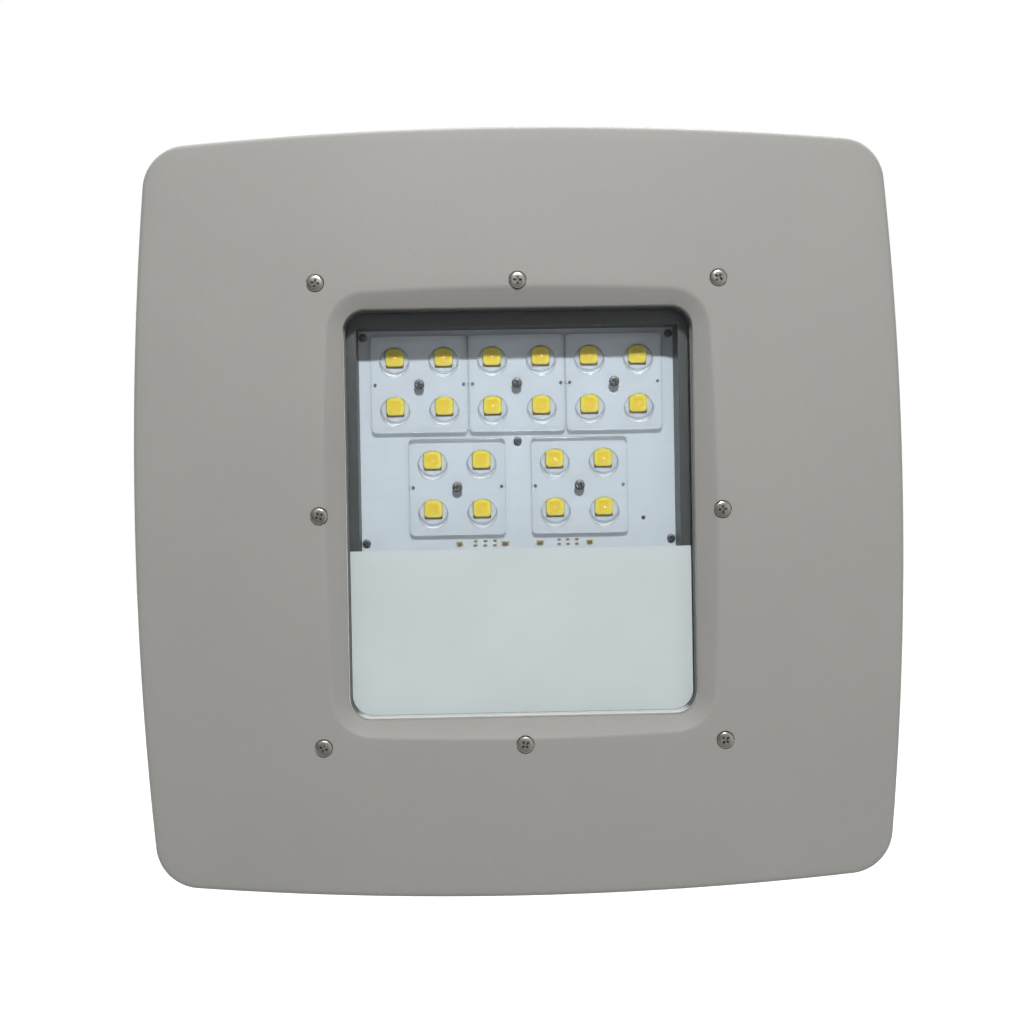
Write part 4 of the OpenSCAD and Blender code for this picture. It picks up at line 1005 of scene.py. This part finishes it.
class FLOODLIGHT_OT_window(bpy.types.Operator):
    """Finish the window glass, its seal, the white shield and the dark liner"""
    bl_idname = "flood_light.window"
    bl_label = "Window"

    def execute(self, context):
        dress("window_glass", clear("window_glass", (0.96, 0.985, 0.98), 1.18, 0.0, 0.03, 25, 0.9))
        dress("glass_seal", silicone("seal_silicone", (0.1, 0.1, 0.1), (0.75, 0.75, 0.74)))
        dress("driver_shield", satin_sheet("white_satin_sheet", tuple(colours().shield)))
        dress("chamber_liner", moulded("dark_liner", tuple(colours().liner), 0.42, 700))
        return {"FINISHED"}


# Rear side and inner parts: CAD nodes in finished materials

class FLOODLIGHT_OT_housing(bpy.types.Operator):
    """Finish the rear housing and what is screwed into it"""
    bl_idname = "flood_light.housing"
    bl_label = "Rear housing"

    def execute(self, context):
        paint = tuple(colours().paint)
        dress("rear_housing", powder_coat("cast_powder_coat", shade(paint, 0.96), 0.0007))
        dress("conduit_plugs", powder_coat("plug_powder_coat", shade(paint, 0.8), 0.0004))
        nylon = moulded("black_nylon", (0.018, 0.018, 0.019), 0.42, edge=0.0004)
        for node in ("breather_vent", "inlet_gland", "gland_nut"):
            dress(node, nylon)
        dress("gland_bush", moulded("black_rubber", (0.012, 0.012, 0.012), 0.6, 500))
        return {"FINISHED"}


class FLOODLIGHT_OT_mounting(bpy.types.Operator):
    """Finish the mounting plate, the hinge and the thumbscrews"""
    bl_idname = "flood_light.mounting"
    bl_label = "Mounting"

    def execute(self, context):
        dress("mounting_plate", zinc_plate("zinc_sheet", (0.5, 0.51, 0.52), 0.0004))
        green = moulded("green_enamel", (0.03, 0.22, 0.06), 0.35, edge=0.0002)
        dress("plate_earth_screw", green)
        dress("housing_earth_screw", green)
        dress("hinge_pins", bare_metal("pin_steel", (0.56, 0.56, 0.55), 0.3, 0.0003))
        dress("hinge_clips", bare_metal("spring_steel", (0.2, 0.2, 0.21), 0.35, 0.0002))
        plating = bare_metal("black_plating", (0.1, 0.1, 0.105), 0.38, 0.0005)
        dress("thumbscrew_left", plating)
        dress("thumbscrew_right", plating)
        return {"FINISHED"}


class FLOODLIGHT_OT_inner_parts(bpy.types.Operator):
    """Finish the driver, the terminal block, the surge protector and the leads"""
    bl_idname = "flood_light.inner_parts"
    bl_label = "Inner parts"

    def execute(self, context):
        insulation = moulded("black_insulation", (0.015, 0.015, 0.015), 0.4)
        finishes = {
            "thermal_pad": moulded("thermal_pad_grey", (0.2, 0.25, 0.3), 0.7),
            "led_driver": bare_metal("extruded_aluminium", (0.6, 0.6, 0.59), 0.4, 0.0004),
            "driver_caps": moulded("cap_plastic", (0.03, 0.03, 0.032), 0.45, edge=0.0003),
            "driver_screws": bare_metal("plain_steel", (0.5, 0.5, 0.49), 0.35),
            "terminal_block": moulded("terminal_white", (0.7, 0.7, 0.66), 0.4, edge=0.0003),
            "terminal_screws": bare_metal("terminal_brass", (0.6, 0.42, 0.16), 0.3),
            "surge_protector": moulded("potting_black", (0.02, 0.02, 0.022), 0.3, edge=0.0005),
            "surge_leads": insulation,
            "lead_live": insulation,
            "lead_minus": insulation,
            "lead_neutral": moulded("white_insulation", (0.72, 0.72, 0.7), 0.4),
            "lead_earth": moulded("green_insulation", (0.03, 0.28, 0.07), 0.4),
            "lead_plus": moulded("red_insulation", (0.5, 0.02, 0.02), 0.4),
            "board_connector": moulded("connector_white", (0.75, 0.75, 0.7), 0.4, edge=0.0002),
        }
        for node, material in finishes.items():
            dress(node, material)
        return {"FINISHED"}


# Stage

FLOOR_SIZE = 14
SENSOR_WIDTH = 36
LAMP_TARGET = Vector((0, -0.06, 0))
# Ways that a ray can point: away from the camera's side, and up to the right
BACKWARDS = (0, 1, 0)
UP_RIGHT = (0.45, 0, 0.89)
WHITE = (1, 1, 1, 1)


def area_lamp(name, place, power, size):
    deselect()
    bpy.ops.object.light_add(type="AREA", location=place)
    lamp = bpy.context.object
    lamp.name = name
    lamp.data.energy = power
    lamp.data.shape = "DISK"
    lamp.data.size = size
    lamp.rotation_euler = (lamp.location - LAMP_TARGET).to_track_quat("Z", "Y").to_euler()


def along(tree, direction, low, high, out_low, out_high):
    """A level that changes with how far a ray points along a direction."""
    against = tree.nodes.new("ShaderNodeNewGeometry").outputs["Incoming"]
    share = measure_node(tree, "DOT_PRODUCT", against, -Vector(direction))
    return range_node(tree, share, low, high, out_low, out_high)


def seen_plainly(tree):
    """1 for the camera, and for what mirrors or glass show of the white behind the object. It is
    less for the room on the camera's side, darkest low and to the left, and 0 for light on the
    object."""
    path = tree.nodes.new("ShaderNodeLightPath")
    shown = math_node(tree, "MAXIMUM", path.outputs["Is Glossy Ray"],
                      path.outputs["Is Transmission Ray"])
    room = math_node(tree, "MAXIMUM", along(tree, BACKWARDS, -0.85, -0.1, 0.0, 1.0),
                     along(tree, UP_RIGHT, -0.3, 0.25, 0.04, 1.0))
    seen = math_node(tree, "MAXIMUM", path.outputs["Is Camera Ray"],
                     math_node(tree, "MULTIPLY", shown, room))
    straight = math_node(tree, "LESS_THAN", path.outputs["Diffuse Depth"], 0.5)
    return math_node(tree, "MULTIPLY", seen, straight)


def lay_floor(v):
    """Pale floor, which shows white and keeps the object's shadow."""
    deselect()
    bpy.ops.mesh.primitive_plane_add(size=FLOOR_SIZE, location=(0, 0, -v.floor_drop))
    floor = new_piece("floor")
    material = bpy.data.materials.new("pale_floor")
    material.use_nodes = True
    tree = material.node_tree
    surface = tree.nodes["Principled BSDF"]
    surface.inputs["Base Color"].default_value = (0.3, 0.3, 0.3, 1)
    surface.inputs["Roughness"].default_value = 0.9
    surface.inputs["Specular IOR Level"].default_value = 0.0
    surface.inputs["Emission Color"].default_value = WHITE
    tree.links.new(math_node(tree, "MULTIPLY", seen_plainly(tree), v.floor_lift),
                   surface.inputs["Emission Strength"])
    floor.data.materials.append(material)


def set_surroundings(scene, v):
    """White where it is seen, and soft light on the object, mostly from behind it."""
    world = scene.world or bpy.data.worlds.new("surroundings")
    scene.world = world
    world.use_nodes = True
    tree = world.node_tree
    tree.nodes.clear()
    output = tree.nodes.new("ShaderNodeOutputWorld")
    lit = tree.nodes.new("ShaderNodeBackground")
    lit.inputs["Color"].default_value = WHITE
    tree.links.new(along(tree, BACKWARDS, -0.4, 0.3, v.sky_front, v.sky_behind),
                   lit.inputs["Strength"])
    seen = tree.nodes.new("ShaderNodeBackground")
    seen.inputs["Color"].default_value = WHITE
    seen.inputs["Strength"].default_value = 1.0
    mix = tree.nodes.new("ShaderNodeMixShader")
    tree.links.new(seen_plainly(tree), mix.inputs[0])
    tree.links.new(lit.outputs[0], mix.inputs[1])
    tree.links.new(seen.outputs[0], mix.inputs[2])
    tree.links.new(mix.outputs[0], output.inputs["Surface"])


class FLOODLIGHT_OT_stage(bpy.types.Operator):
    """Set up the floor, the surroundings, the lamps and the camera"""
    bl_idname = "flood_light.stage"
    bl_label = "Stage"

    def execute(self, context):
        scene = context.scene
        v = scene.flood_light_stage
        lay_floor(v)
        set_surroundings(scene, v)
        area_lamp("key_lamp", (0.08, -2.05, 1.3), v.key_power, 0.07)
        area_lamp("fill_lamp", (0.9, -1.6, 0.1), v.fill_power, 0.9)
        area_lamp("top_lamp", (0.2, 0.35, 2.0), v.top_power, 0.5)
        area_lamp("back_lamp", (0.7, 1.7, 1.5), v.back_power, 0.9)
        bpy.ops.object.camera_add(location=tuple(v.camera_place), rotation=tuple(v.camera_turn))
        camera = bpy.context.object
        camera.name = "camera"
        camera.data.lens = v.lens
        camera.data.sensor_width = SENSOR_WIDTH
        scene.camera = camera
        scene.view_settings.view_transform = "Standard"
        return {"FINISHED"}


class FLOODLIGHT_PT_panel(bpy.types.Panel):
    """Lists the pieces of the flood light"""
    bl_idname = "FLOODLIGHT_PT_panel"
    bl_label = "Flood light"
    bl_space_type = "VIEW_3D"
    bl_region_type = "UI"
    bl_category = "Flood light"

    def draw(self, context):
        for operator in OPERATORS:
            self.layout.operator(operator.bl_idname)


OPERATORS = (FLOODLIGHT_OT_front_frame, FLOODLIGHT_OT_screws, FLOODLIGHT_OT_window,
             FLOODLIGHT_OT_led_board, FLOODLIGHT_OT_led_chips, FLOODLIGHT_OT_lens_modules,
             FLOODLIGHT_OT_housing, FLOODLIGHT_OT_mounting, FLOODLIGHT_OT_inner_parts,
             FLOODLIGHT_OT_stage)
GROUPS = {"flood_light_sizes": FloodLightSizes, "flood_light_colours": FloodLightColours,
          "flood_light_stage": FloodLightStage}


def register():
    for made in (*GROUPS.values(), *OPERATORS, FLOODLIGHT_PT_panel):
        bpy.utils.register_class(made)
    for name, group in GROUPS.items():
        setattr(bpy.types.Scene, name, bpy.props.PointerProperty(type=group))


def unregister():
    for name in GROUPS:
        delattr(bpy.types.Scene, name)
    for made in (FLOODLIGHT_PT_panel, *OPERATORS, *GROUPS.values()):
        bpy.utils.unregister_class(made)


def main():
    register()
    for operator in OPERATORS:
        group, name = operator.bl_idname.split(".")
        getattr(getattr(bpy.ops, group), name)()


if __name__ == "__main__":
    main()
